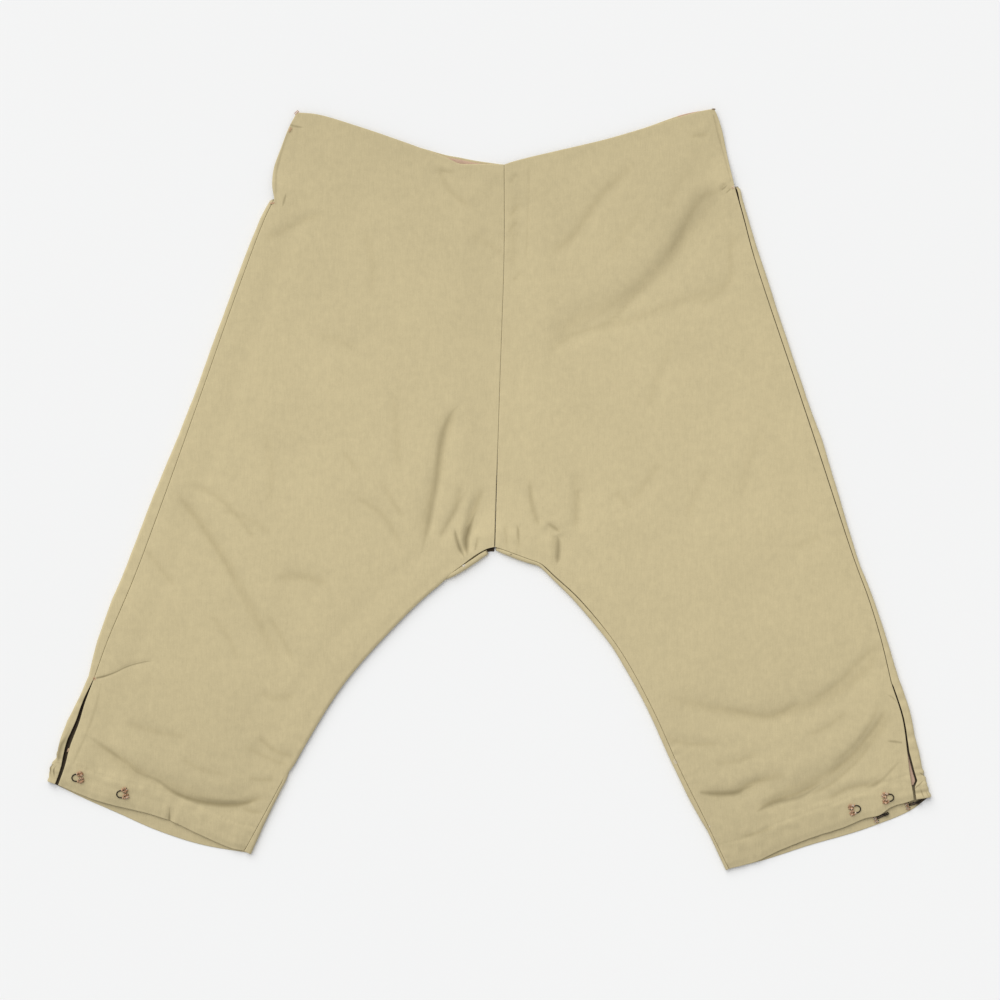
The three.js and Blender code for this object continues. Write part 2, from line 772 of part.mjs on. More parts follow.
const grids = new Map();
for (const [table, half] of halves) {
  grids.set(table, frontGrid(half));
  addPiece(`front_${half.name}`, clothWall(grids.get(table), CLOTH, { upright: true }), SATEEN);
  addPiece(`back_${half.name}`, backGeometry(half), SATEEN);
}
for (const facing of WAIST_FACINGS) {
  addPiece(facing.name, waistFacing({ ...facing, half: halves.get(facing.half) }), PINK);
}
addPiece(SLIT_FACING.name, slitFacing(halves.get(LEFT)), PINK);
for (const eye of EYES) {
  const path = placeWire(eyePath(), eye, (x, y) => topOf(grids.get(eye.half), x, y));
  addPiece(eye.name, wireGeometry(path, EYE_STEPS), BLACK_WIRE);
}
for (const hook of HOOKS) {
  const path = placeWire(hookPath(), hook, () => CLOTH);
  addPiece(hook.name, wireGeometry(path, HOOK_STEPS), BLACK_WIRE);
}

export default pants;
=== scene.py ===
"""Three-quarter pants in cotton sateen, laid flat with the front upwards, dressed for rendering.

Tables and dataclasses hold lengths in millimetres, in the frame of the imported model: +X is the wearer's
left, +Y is towards the waist, +Z is up, and the surface that the garment lies on is z = 0. Meshes are
built in metres. Each half of the garment is a front and a back. The back rolls over the fold
at the side and at the inseam and comes back on top as a narrow strip beside the front's seam. Arrays of
points hold their coordinates in the last axis. The way, v, runs from 0 at the waist to 1 at the hem.
"""

import logging
import math
from dataclasses import dataclass, field
from enum import Enum
from typing import Any, Callable, Sequence

import bpy
import numpy as np
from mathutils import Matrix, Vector


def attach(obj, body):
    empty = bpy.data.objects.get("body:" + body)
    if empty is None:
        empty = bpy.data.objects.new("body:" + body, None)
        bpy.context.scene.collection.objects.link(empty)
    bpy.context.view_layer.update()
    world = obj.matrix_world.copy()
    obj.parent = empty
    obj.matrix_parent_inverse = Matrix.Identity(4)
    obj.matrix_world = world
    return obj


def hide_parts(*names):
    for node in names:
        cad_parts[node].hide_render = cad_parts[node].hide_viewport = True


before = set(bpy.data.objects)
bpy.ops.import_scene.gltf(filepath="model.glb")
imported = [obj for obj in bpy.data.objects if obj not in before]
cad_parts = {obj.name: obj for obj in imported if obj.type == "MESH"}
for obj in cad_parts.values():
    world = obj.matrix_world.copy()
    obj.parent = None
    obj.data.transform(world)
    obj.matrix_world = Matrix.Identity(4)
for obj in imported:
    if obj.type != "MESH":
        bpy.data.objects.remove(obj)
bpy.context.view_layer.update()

log = logging.getLogger("pants")

MM = 0.001
BODY = "root"

Rows = Sequence[Sequence[float]]
Array = np.ndarray

# ---------- Cloth ----------

CLOTH = 1.2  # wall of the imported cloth
WALL = 0.9  # wall of the shells made here
GAP = 0.3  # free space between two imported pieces
SEAM_CLOSE = 0.1  # how far the strip's edge comes nearer to the front's
ROLL_SPACE = 2.4  # free height inside a rolled edge
ROLL_REACH = ROLL_SPACE / 2 + CLOTH  # from the centre of a rolled edge to its outside
STRIP_TOP = 2 * ROLL_REACH  # top of the strip that comes back over the fold
REST_LEVEL = CLOTH / 2 + CLOTH + GAP  # middle of a front that lies on the back
BACK_INSET = 0.5  # how far a back ends inside the front's open edge
EDGE_RUN = 0.95  # how far in from its edge the cloth has its full wall
EDGE_WEAR = 1.2  # how far in from its edge it is rubbed pale
RIM_PARTS = 64  # parts in which distances to the rim are worked out

# ---------- How the fronts lie ----------

SEAM_PLATEAU = 9.0  # how far a front stays raised beside a rolled seam
SEAM_SLOPE = 26.0  # and over what distance it comes down
SEAM_LIFT = STRIP_TOP - CLOTH / 2 - REST_LEVEL
BAND_LIFT = CLOTH + 0.1  # the same at the turned hem and waist
BAND_PLATEAU = 20.0
BAND_SLOPE = 12.0
HEM_DIP = 0.65  # share of the hem's lift that is lost at its very edge
HEM_DIP_RUN = 7.0
WAIST_PLATEAU = 4.0
WAIST_SLOPE = 40.0
PUFF = 2.4  # how far the cloth springs up between its edges
PUFF_SLOPE = 45.0
EDGE_FOLD_SHARE = 0.35  # how deep the main folds are at the very edges
EDGE_FOLD_SLOPE = 16.0
TUCK_REACH = 3.0  # how far the front covers the roll where it hides it
TUCK_DROP = 1.7
HOOK_RISES = (  # x, y, height, width
    (-395.0, -263.0, 1.8, 17.0), (-356.0, -282.0, 2.8, 17.0), (369.0, -309.0, 1.0, 8.0),
    (399.0, -297.0, 1.0, 8.0),
)
MAIN_SHARE = 0.62  # how deep the main folds lie on this thinner surface
RIDGE_SHARE = 0.55  # and how much of their ridges is left
RIDGE_AT = 1.7  # widths from a fold's path to its ridge
FAR_FLANK = 2.3  # how much wider a fold's far side is than its near side
LIGHT_SIDE = (-0.45, 0.89)  # the near side of every fold looks this way
# Painted shade: the base colour is darkened in the folds' creases, where shade falls
CREASE_SHADE = 0.34  # how much a fold's crease darkens the cloth at most
PUCKERS = {  # reach and height of the small waves beside each line
    "side seam": (7.0, 0.13), "inseam": (8.0, 0.16), "hem": (20.0, 0.36), "waist": (9.0, 0.06),
    "centre seam": (7.0, 0.14), "opening": (6.0, 0.12),
}
HEM_RIPPLE = 0.22  # height of the ripples along the sewn line of the hem
HEM_RIPPLE_AT = 19.0
HEM_RIPPLE_WIDTH = 11.0
CALM_REACH = 10.0  # over what distance the ripples start at the edges
STITCH_LENGTH = 7.5  # along the sewn lines of hems and facings
GROOVE_WIDTH = 1.3
SEAM_OPEN = 0.3  # how far the lower centre seam gapes on each side
SEAM_OPENS = (0.36, 0.42)  # shares of the way over which it opens

# ---------- Shares of the way from the waist to the hem ----------

OPENING_END = 0.13
CROTCH = 0.49
SLIT_TOP = 0.85
ROW_SPANS = (  # to, rows
    (0.0002, 1), (0.0012, 3), (0.05, 26), (0.13, 32), (0.43, 68), (0.49, 30), (0.501, 6), (0.54, 14),
    (0.80, 59), (0.818, 8), (0.858, 38), (0.93, 36), (0.9988, 40), (0.9998, 3), (1.0, 1),
)
FRONT_COLUMN_SPANS = (
    (0.0005, 1), (0.0040, 3), (0.06, 9), (0.20, 22), (0.80, 56), (0.94, 26), (0.9960, 9), (0.9995, 3),
    (1.0, 1),
)


class Side(Enum):
    """Half of the garment, by the direction in which it lies from the centre seam."""

    RIGHT = -1
    LEFT = 1


@dataclass(frozen=True)
class Outline:
    """Edges of one half, each a table of x and y, and how far the back shows outside the front."""

    side: Side
    waist: Rows
    opening: Rows
    seam: Rows
    slit: Rows
    hem: Rows
    inseam: Rows
    back_waist: Rows
    back_hem: Rows
    rolls: Rows  # share, width outside the front's edge, gap beside it
    under: Rows  # the same at the inseam
    roll_start: float  # share at which the inseam's roll starts
    tuck: Rows = ((0.0, 0.0), (1.0, 0.0))  # share, how far the front hides the inseam's roll

    @property
    def name(self) -> str:
        """The half's name."""
        return self.side.name.lower()


CENTRE_SEAM = ((14, 308.5), (14, 227), (10, 103.5), (6, -20), (5, -55))

RIGHT = Outline(
    side=Side.RIGHT,
    waist=((-163, 356), (-124, 344.5), (-90, 333), (-56.5, 321), (-40.5, 315), (-29, 309.5), (-14, 309)),
    opening=((-183, 358), (-190.5, 344), (-198, 325), (-205, 305), (-206.5, 289), (-204.5, 275.5)),
    seam=(
        (-204.5, 275.5), (-214, 255.5), (-242.5, 179.5), (-276, 84.5), (-317, -29.5), (-338.5, -86.5),
        (-362.5, -143.5), (-375.5, -179.5),
    ),
    slit=(
        (-375.5, -179.5), (-384.5, -203.5), (-390, -222), (-398.5, -244.5), (-403.5, -264), (-410, -281.5),
    ),
    hem=((-397, -287), (-377, -295), (-356, -301), (-327, -308), (-303.5, -315.5), (-279, -327),
         (-245.5, -341.5)),
    inseam=(
        (5, -55), (-2.5, -57), (-14, -63.5), (-28.5, -74.5), (-55.5, -94), (-86, -122.5), (-139, -181.5),
        (-175.5, -238.5), (-206.5, -295.5), (-233, -344),
    ),
    back_waist=((-124, 343.5), (-90, 332), (-56.5, 322), (-40.5, 317.5), (-29, 315.5), (-14, 312.5)),
    back_hem=((-384, -295), (-353, -308.5), (-318, -324), (-275, -338)),
    rolls=(
        (0.13, 3.0, GAP), (0.16, 4.4, GAP), (0.43, 6.0, GAP), (0.52, 8.2, GAP), (0.58, 10.6, GAP),
        (0.74, 11.6, GAP), (0.80, 9.4, GAP), (0.85, 6.0, GAP), (0.88, 7.0, 2.3), (0.915, 11.2, 3.6),
        (0.937, 11.1, 4.5), (0.965, 10.6, 4.1), (0.973, 12.4, 3.6), (0.981, 13.8, 3.3),
        (0.988, 12.2, 3.1), (1.00, 10.8, 3.0),
    ),
    under=(
        (0.49, 6.6, 1.0), (0.501, 5.4, 1.0), (0.52, 6.2, 1.5), (0.535, 5.6, 0.8), (0.545, 5.0, GAP),
        (0.57, 3.2, GAP), (0.90, 2.8, GAP), (0.96, 4.4, GAP), (1.00, 7.0, GAP),
    ),
    roll_start=0.501,
    tuck=((0.0, 0.0), (0.55, 0.0), (0.58, 1.0), (0.87, 1.0), (0.90, 0.0), (1.0, 0.0)),
)

LEFT = Outline(
    side=Side.LEFT,
    waist=((200, 359), (185, 355), (151.5, 344.5), (112.5, 333), (62, 321), (38.5, 315.5), (21.5, 311)),
    opening=((213.5, 361.5), (217, 353.5), (221, 341), (227, 312.5), (233, 287)),
    seam=(
        (233, 287), (241, 258.5), (251.5, 219.5), (290, 103.5), (309, 46.5), (346.5, -67.5),
        (360.5, -105.5), (372, -143.5), (381.5, -183.5),
    ),
    slit=((381.5, -183.5), (392.5, -218.5), (397, -250), (399.5, -270.5), (403.5, -295.5)),
    hem=(
        (394.5, -298.5), (382, -302.5), (371, -310), (356.5, -313.5), (337.5, -321.5), (306.5, -331.5),
        (274, -344.5), (254, -354),
    ),
    inseam=(
        (5, -55), (12.5, -57.5), (37.8, -66.8), (48.8, -71), (63, -83.6), (86, -105), (124, -153),
        (155.5, -210), (181, -266.5), (204, -312.5), (227.5, -361),
    ),
    back_waist=((185, 356.5), (151.5, 345), (112.5, 332), (62, 319.5), (38.5, 314)),
    back_hem=((400, -306), (358, -323), (337.5, -329.5), (305.5, -338.5), (259, -353.5)),
    rolls=(
        (0.13, 3.2, 0.6), (0.135, 3.4, 1.8), (0.143, 3.8, 1.5), (0.151, 4.0, 0.9), (0.22, 5.6, 0.7),
        (0.24, 6.0, 0.6), (0.44, 5.4, 0.7), (0.50, 7.0, 0.7), (0.59, 5.4, 0.7), (0.68, 3.8, 0.6),
        (0.79, 5.5, 0.6), (0.852, 8.4, 0.6), (0.857, 8.6, 1.2), (0.92, 8.8, 1.6), (0.94, 11.2, 2.0),
        (0.96, 12.6, 4.1), (0.977, 14.5, 6.0), (0.984, 15.0, 2.4), (1.00, 16.4, 2.0),
    ),
    under=(
        (0.4915, 3.0, GAP), (0.501, 3.8, GAP), (0.52, 4.2, GAP), (0.55, 3.4, GAP), (0.56, 3.7, 0.9),
        (0.62, 5.0, 0.8), (0.67, 5.0, GAP), (0.90, 4.6, GAP), (0.93, 4.0, GAP), (0.955, 2.4, GAP),
        (1.00, 2.0, GAP),
    ),
    roll_start=0.4915,
)


@dataclass(frozen=True)
class Fold:
    """A soft trough along a path, and a ridge beside it.

    shoulder is the ridge's height as a share of the depth, on the left of the path as it runs, or on its
    right where it is negative. The fold dies away over the share fade of its path at each end. dark is
    how strongly painted shade darkens the cloth in its crease, against what is usual for its width and depth.
    """

    width: float
    depth: float
    shoulder: float
    path: Rows
    fade: float = 0.2
    dark: float = 1.0


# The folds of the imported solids
MAIN_FOLDS = (
    Fold(14, 3.2, 0.4, ((228, 283), (190, 240), (165, 210), (129, 180), (80, 156), (50, 125)), dark=0.9),
    Fold(9, 0.8, 0.5, ((238, 198), (190, 180), (141, 162), (95, 146))),
    Fold(10, 0.9, 0.5, ((132, 301), (105, 276), (80, 240), (53, 218))),
    Fold(6, 1.0, -0.4, ((83, 18), (82, -14), (83, -45)), dark=0.5),
    Fold(11, 2.0, -0.7, ((152, -196), (202, -208), (262, -217), (317, -202), (359, -172), (377, -142))),
    Fold(9, 2.0, 0.7, ((195, -290), (231, -290), (262, -277), (286, -272))),
    Fold(10, 2.2, 0.7, ((249, -308), (286, -287), (328, -269), (371, -232), (383, -208))),
    Fold(11, 1.7, 0.6, ((-302, 1), (-277, -32), (-253, -68), (-223, -124), (-198, -172))),
    Fold(9, 2.2, 0.7, ((-29, 80), (-41, 52), (-47, 16), (-57, -20), (-64, -56))),
    Fold(6, 2.4, -0.6, ((-4, 6), (-19, -38), (-23, -66))),
    Fold(8, 1.3, 0.6, ((-205, -86), (-180, -84), (-150, -93))),
    Fold(6, 0.3, 0.8, ((-377, -182), (-366, -179), (-339, -167), (-316, -162)), dark=0.0),
    Fold(11, 2.6, 0.7, ((-380, -241), (-356, -259), (-325, -275), (-295, -287), (-266, -297),
                        (-235, -300), (-208, -289))),
)

# Finer creases that only show on the cloth's surface
FINE_FOLDS = (
    # wearer's left: hip and belly
    Fold(5, 0.5, 0.6, ((223, 285), (201, 276), (190, 256), (178, 233), (165, 217))),
    Fold(5, 0.45, 0.6, ((156, 199), (139, 184), (113, 157), (80, 146), (50, 125))),
    Fold(6, 0.4, 0.5, ((240, 244), (230, 230), (229, 199), (207, 178), (190, 180))),
    Fold(6, 0.3, 0.5, ((145, 313), (123, 295), (105, 276), (80, 240), (60, 222))),
    Fold(4, 0.45, 0.5, ((190, 334), (199, 335.5), (210, 336)), 0.3),
    Fold(9, 0.5, -0.5, ((27, 285), (24, 240), (24, 204))),
    Fold(7, 0.25, 0.6, ((150, 268), (128, 240), (112, 214))),
    Fold(8, 0.25, 0.6, ((196, 306), (178, 286), (168, 262))),
    Fold(7, 0.25, -0.5, ((176, 140), (160, 104), (150, 72))),
    Fold(1.6, 0.22, 0.4, ((38, 311), (37, 270), (35, 214)), 0.1, 0.6),
    Fold(2.6, 0.5, 0.5, ((19, 258), (24, 265), (29, 271)), 0.3, 1.1),
    Fold(2.6, 0.45, 0.5, ((17, 242), (22, 249), (28, 255)), 0.3, 1.0),
    Fold(2.6, 0.4, 0.5, ((21, 196), (26, 201), (31, 206)), 0.3, 0.9),
    Fold(2.6, 0.35, 0.5, ((19, 289), (23, 295), (27, 300)), 0.3, 0.7),
    Fold(1.4, 0.3, -0.5, ((213, 356), (216, 345), (219, 333.5), (222, 324)), 0.1, 0.9),
    Fold(2.0, 0.5, 0.4, ((219, 283), (222, 287), (225, 291)), 0.3, 1.3),
    Fold(2.0, 0.5, 0.4, ((224, 281), (227, 284), (229, 288)), 0.3, 1.3),
    # wearer's left: crotch and thigh
    Fold(4.5, 0.8, 0.6, ((39, 10), (41, -16), (48, -37))),
    Fold(3.5, 0.9, 0.6, ((54, -32), (61, -37), (68, -42)), 0.3),
    Fold(3.6, 1.5, -0.7, ((62, -42), (64, -50), (65, -60), (64, -76)), 0.25, 0.3),
    Fold(4.0, 0.7, 0.5, ((84, 2), (84, -14), (83, -38))),
    Fold(2.2, 0.55, 0.5, ((27, -32), (27.5, -46), (28, -60)), 0.3, 1.3),
    Fold(3.0, 0.4, -0.5, ((15, -30), (16, -45), (17, -58)), 0.3),
    Fold(6, 0.45, 0.5, ((119, -2), (127, -12), (134, -22))),
    Fold(8, 0.5, 0.5, ((165, 28), (150, 6), (134, -16))),
    Fold(7, 0.4, 0.5, ((318, -43), (302, -52), (285, -57))),
    Fold(7, 0.3, 0.5, ((210, 20), (196, -6), (188, -34))),
    Fold(8, 0.25, -0.5, ((262, 60), (246, 20), (240, -16))),
    # wearer's left: calf and hem
    Fold(5, 0.7, -0.6, ((202, -208), (243, -213), (264, -217.5), (278, -213), (288, -207), (302, -201))),
    Fold(5, 0.6, -0.6, ((302, -201), (319, -194), (336, -181), (351, -165), (377, -141))),
    Fold(4, 0.65, 0.6, ((193, -288), (220, -290), (235, -289), (243, -283), (255, -278), (272, -275)),
         0.2, 1.4),
    Fold(4, 0.9, 0.6, ((253, -306), (266, -299), (278, -294.5), (293, -290), (307, -283), (319, -275.5)),
         0.2, 1.4),
    Fold(4, 0.8, 0.6, ((319, -275.5), (331, -265.5), (345, -253.5), (357, -239), (370, -222), (378, -206)),
         0.2, 1.2),
    Fold(3.5, 0.5, 0.6, ((300, -292), (318, -285), (336, -272), (352, -257), (366, -238))),
    Fold(3.0, 0.4, 0.5, ((322, -262), (338, -252), (352, -237), (364, -219), (372, -200))),
    Fold(4.5, 0.8, 0.6, ((320, -296), (329, -291.5), (343, -284.5), (365, -281), (377, -274))),
    Fold(3.5, 0.5, 0.5, ((236, -331), (248, -329), (262, -325), (272, -320)), 0.3),
    Fold(5, 0.4, 0.5, ((160, -236), (190, -243), (222, -243))),
    Fold(5, 0.4, 0.5, ((300, -236), (322, -226), (342, -210))),
    Fold(5, 0.35, 0.5, ((212, -262), (236, -259), (258, -250))),
    # wearer's right: thigh and knee
    Fold(5, 0.45, 0.5, ((-292, 7), (-259, -8), (-231, -38), (-223, -50))),
    Fold(4, 0.45, 0.6, ((-302, 1), (-277, -32), (-253, -68), (-238, -96))),
    Fold(6, 0.5, 0.5, ((-331, -54), (-314, -75), (-297, -95))),
    Fold(5, 0.4, 0.5, ((-213, -117), (-198, -142), (-187, -165))),
    Fold(6, 0.3, 0.5, ((-258, -20), (-232, -28), (-204, -46))),
    Fold(6, 0.35, 0.5, ((-268, -118), (-250, -140), (-238, -168))),
    Fold(7, 0.25, -0.5, ((-214, 60), (-206, 20), (-210, -20))),
    # wearer's right: waist and belly
    Fold(6, 0.55, 0.5, ((-216, 238), (-205, 240), (-180, 253), (-154, 262))),
    Fold(6, 0.5, 0.5, ((-50, 309), (-41, 286), (-15, 264))),
    Fold(2.4, 0.4, 0.5, ((-50, 304), (-40, 301), (-32, 302)), 0.3),
    Fold(8, 0.35, 0.5, ((-164, 145), (-145, 140), (-124, 130))),
    Fold(8, 0.3, 0.5, ((-19, 242), (-2, 232), (14, 221))),
    Fold(7, 0.25, -0.5, ((-120, 250), (-110, 216), (-112, 180))),
    # wearer's right: crotch
    Fold(5, 0.7, 0.8, ((-26, 86), (-39, 64), (-45, 50), (-49, 24), (-54, -9), (-58, -36), (-64, -61))),
    Fold(5, 0.8, 0.6, ((-26, 6), (-32, -19), (-41, -36), (-48, -49))),
    Fold(3.4, 0.8, -0.7, ((-5, -2), (-13, -16), (-18.5, -32), (-22, -43), (-22.5, -58)), 0.3, 0.5),
    Fold(3.2, 1.6, -0.6, ((-15, -28), (-19.5, -39), (-22.4, -50), (-21.6, -63)), 0.25, 0.3),
    Fold(2.8, 1.4, 0.6, ((-33.5, -38), (-31, -48), (-28.5, -55.5), (-23.5, -65)), 0.25, 0.3),
    Fold(2.8, 0.7, 0.5, ((-10, -44), (-12.8, -59)), 0.3),
    Fold(7, 0.5, 0.5, ((-90, 91), (-87, 50), (-86, 14))),
    Fold(6, 0.4, 0.5, ((-140, 36), (-132, 24), (-125, 14))),
    Fold(6, 0.55, 0.5, ((-131, -6), (-101, -27), (-83, -58))),
    Fold(5, 0.3, 0.5, ((-104, 8), (-92, -14), (-80, -30))),
    # wearer's right: calf and hem
    Fold(1.25, 0.55, 0.4, ((-318, -163), (-328, -164.5), (-343, -168), (-357, -175), (-367, -178.5),
                          (-374, -179.5)), 0.12, 0.0),
    Fold(5, 0.45, 0.5, ((-219, -193), (-208, -199), (-180, -197))),
    Fold(6, 0.5, 0.5, ((-348, -222), (-326, -229), (-306, -234), (-282, -237))),
    Fold(4, 0.6, 0.6, ((-377, -240), (-360, -251), (-345, -260), (-335, -268), (-321, -273)), 0.2, 1.2),
    Fold(3.8, 1.1, 0.6, ((-312, -282), (-298, -290), (-282, -296), (-263, -300), (-241, -301), (-226, -297),
                          (-212, -292)), 0.2, 1.5),
    Fold(4, 0.7, 0.5, ((-237, -303), (-226, -307), (-214, -308)), 0.3),
    Fold(5, 0.7, 0.5, ((-222, -235), (-205, -249), (-184, -256))),
    Fold(4, 0.45, 0.5, ((-230, -275), (-216, -277), (-203, -277))),
    Fold(5, 0.4, 0.5, ((-237, -243), (-212, -256), (-190, -264))),
    Fold(5, 0.35, 0.5, ((-296, -256), (-272, -268), (-248, -272))),
    Fold(1.8, 0.8, 0.5, ((-304, -300), (-304.5, -318)), 0.3, 0.3),
)


@dataclass(frozen=True)
class Crease:
    """A sharp line of painted shade at the core of a fold: how dark it is, and rows of x, y and half width.
    """

    strength: float
    rows: Rows


# Painted shade: sharp dark lines at the cores of the fronts' folds, where shade falls
CREASES = (
    # crotch, wearer's right, then left
    Crease(0.55, ((-33.5, -37, 0.2), (-31.5, -46, 2.6), (-28.8, -55.3, 3.0), (-24, -65, 0.8))),
    Crease(0.62, ((-12.5, -20, 0.2), (-17, -31, 2.2), (-20.8, -41, 4.0), (-22.5, -50, 4.0), (-21, -63, 1.0))),
    Crease(0.26, ((-26.4, 83, 0.3), (-40.5, 65, 3.4), (-47.7, 35, 5.0), (-51, 5.4, 4.4), (-57.3, -28.7, 4.2),
                  (-64.8, -61, 1.0))),
    Crease(0.15, ((-21, 1, 0.3), (-31.7, -18, 5.0), (-46.6, -43.6, 1.0))),
    Crease(0.30, ((-12, -46, 0.4), (-13.6, -58, 1.6))),
    Crease(0.12, ((36.6, 3.3, 0.4), (41.3, -13.3, 4.5), (47.2, -35.2, 1.0))),
    Crease(0.18, ((55.8, -34, 0.4), (61.3, -36.5, 3.0), (66.4, -40.4, 1.0))),
    Crease(0.46, ((64.2, -44, 0.3), (65.5, -53, 3.6), (65, -63.7, 3.6), (64, -72, 0.6))),
    Crease(0.22, ((25.8, -33, 0.3), (27.6, -41.8, 1.8), (27.9, -51, 0.6))),
    # slit and hem, wearer's right
    Crease(0.70, ((-373.5, -179.6, 1.4), (-367.3, -178.3, 1.4), (-357.1, -174.8, 1.1), (-342.6, -168.2, 1.0),
                  (-328.2, -164.4, 0.8), (-319, -163, 0.2))),
    Crease(0.70, ((-304.1, -301, 0.2), (-304.2, -308.8, 1.2), (-304.6, -315.5, 2.0))),
    Crease(0.20, ((-368.6, -184, 1.0), (-375.8, -212, 2.6), (-384.9, -236.6, 2.2), (-391, -250, 2.4),
                  (-395.5, -262, 0.4))),
    Crease(0.42, ((-342.5, -262.2, 0.3), (-334.9, -269.3, 2.0), (-317.8, -275.8, 2.6), (-302.6, -286, 3.6),
                  (-286.4, -293.4, 4.2), (-269.3, -297.4, 4.8), (-250.3, -299.3, 4.6), (-232.3, -298.3, 3.0),
                  (-223.7, -296.4, 0.6))),
    Crease(0.16, ((-384.7, -233, 0.4), (-364, -246, 4.0), (-343, -263, 1.0))),
    # slit and hem, wearer's left
    Crease(0.40, ((200, -288.3, 2.5), (217.1, -289.6, 4.0), (233.2, -288.6, 4.0), (243, -284.6, 2.4),
                  (253, -281, 0.4))),
    Crease(0.42, ((253.2, -306.9, 0.4), (261.7, -302.1, 3.2), (273.6, -297.4, 4.0), (285.5, -295, 3.6),
                  (297.4, -291.5, 3.2), (306.4, -286.4, 2.2), (318, -278.5, 0.4))),
    Crease(0.24, ((356.4, -285, 0.3), (370.7, -277.9, 3.2), (382.6, -266, 3.2), (389.7, -258.9, 0.6))),
    Crease(0.40, ((377, -239.4, 0.3), (384, -239.9, 1.8), (392, -241, 1.4))),
    Crease(0.30, ((377, -195, 0.3), (383.5, -198.5, 1.6), (388, -204, 0.6))),
    # hip, wearer's left
    Crease(0.21, ((222, 286, 8), (196, 268, 22), (182, 244.6, 24), (168, 221.4, 20), (144.6, 198, 14),
                  (117, 175, 8), (89, 156, 3))),
    Crease(0.45, ((219.5, 283.6, 0.4), (223, 286, 1.4), (226, 288.6, 0.4))),
    Crease(0.45, ((224.4, 280.8, 0.4), (227, 283.2, 1.4), (229.6, 286, 0.4))),
    Crease(0.20, ((212.6, 356, 1.2), (217.4, 336, 1.3), (223.8, 314, 1.3), (229.2, 292, 1.0))),
    # top corner and opening, wearer's right
    Crease(0.42, ((-190, 346.4, 1.6), (-183, 344.4, 1.6), (-176, 343.6, 0.3))),
    Crease(0.46, ((-193, 281.8, 0.3), (-194.8, 275, 1.6), (-197, 267, 0.3))),
    Crease(0.24, ((-191.6, 339.5, 1.4), (-200.4, 310.4, 1.7), (-202.8, 298, 1.7), (-203, 270, 1.0))),
)

# Painted shade on the backs: dark lines in the creases of the crumpled strip ends
BACK_CREASES = (
    # crumpled lower end of the strip at the slit, wearer's right
    Crease(0.62, ((-398, -226, 0.4), (-402.6, -236.6, 3.0), (-407.2, -244.3, 4.2), (-409.2, -252, 4.0),
                  (-409.8, -259, 1.6))),
    Crease(0.85, ((-417, -273, 0.3), (-417.2, -266.4, 1.2), (-414.8, -261.6, 1.3), (-410.3, -259.6, 1.2),
                  (-406.4, -261.4, 0.4))),
    Crease(0.75, ((-413.4, -274, 0.3), (-413.9, -268, 1.1), (-411.8, -263, 0.4))),
    # and at the slit, wearer's left
    Crease(0.60, ((408, -268.6, 0.3), (411, -271, 1.1), (415, -271.6, 1.0), (418, -270.4, 0.3))),
    Crease(0.60, ((403.5, -285.5, 0.3), (405.5, -283, 1.2), (408.5, -280.6, 1.2), (412.5, -276.6, 0.4))),
    Crease(0.50, ((409.2, -284, 0.3), (411, -289, 1.1), (413, -294, 0.3))),
    Crease(0.40, ((414.6, -286.6, 0.3), (416, -290, 1.0), (417.4, -293.6, 0.3))),
)

# Creases of the backs' underside, seen from below: hollows that lift the cloth a little off the surface
UNDERSIDE_FOLDS = (
    Fold(8, 0.55, 0.0, ((196, 236), (160, 196), (120, 168), (76, 150))),
    Fold(7, 0.5, 0.0, ((170, 30), (146, 0), (128, -34))),
    Fold(8, 0.55, 0.0, ((196, -206), (246, -222), (302, -206), (338, -176))),
    Fold(6, 0.45, 0.0, ((60, 40), (66, 8), (72, -28))),
    Fold(7, 0.45, 0.0, ((250, 90), (236, 40), (232, -8))),
    Fold(8, 0.5, 0.0, ((-278, -12), (-250, -60), (-222, -108))),
    Fold(7, 0.5, 0.0, ((-64, 76), (-74, 30), (-88, -22))),
    Fold(6, 0.45, 0.0, ((-176, 232), (-140, 206), (-116, 166))),
    Fold(7, 0.45, 0.0, ((-210, -190), (-246, -204), (-290, -196))),
    Fold(6, 0.45, 0.0, ((-196, 96), (-182, 52), (-188, 10))),
)


# ---------- Curves ----------


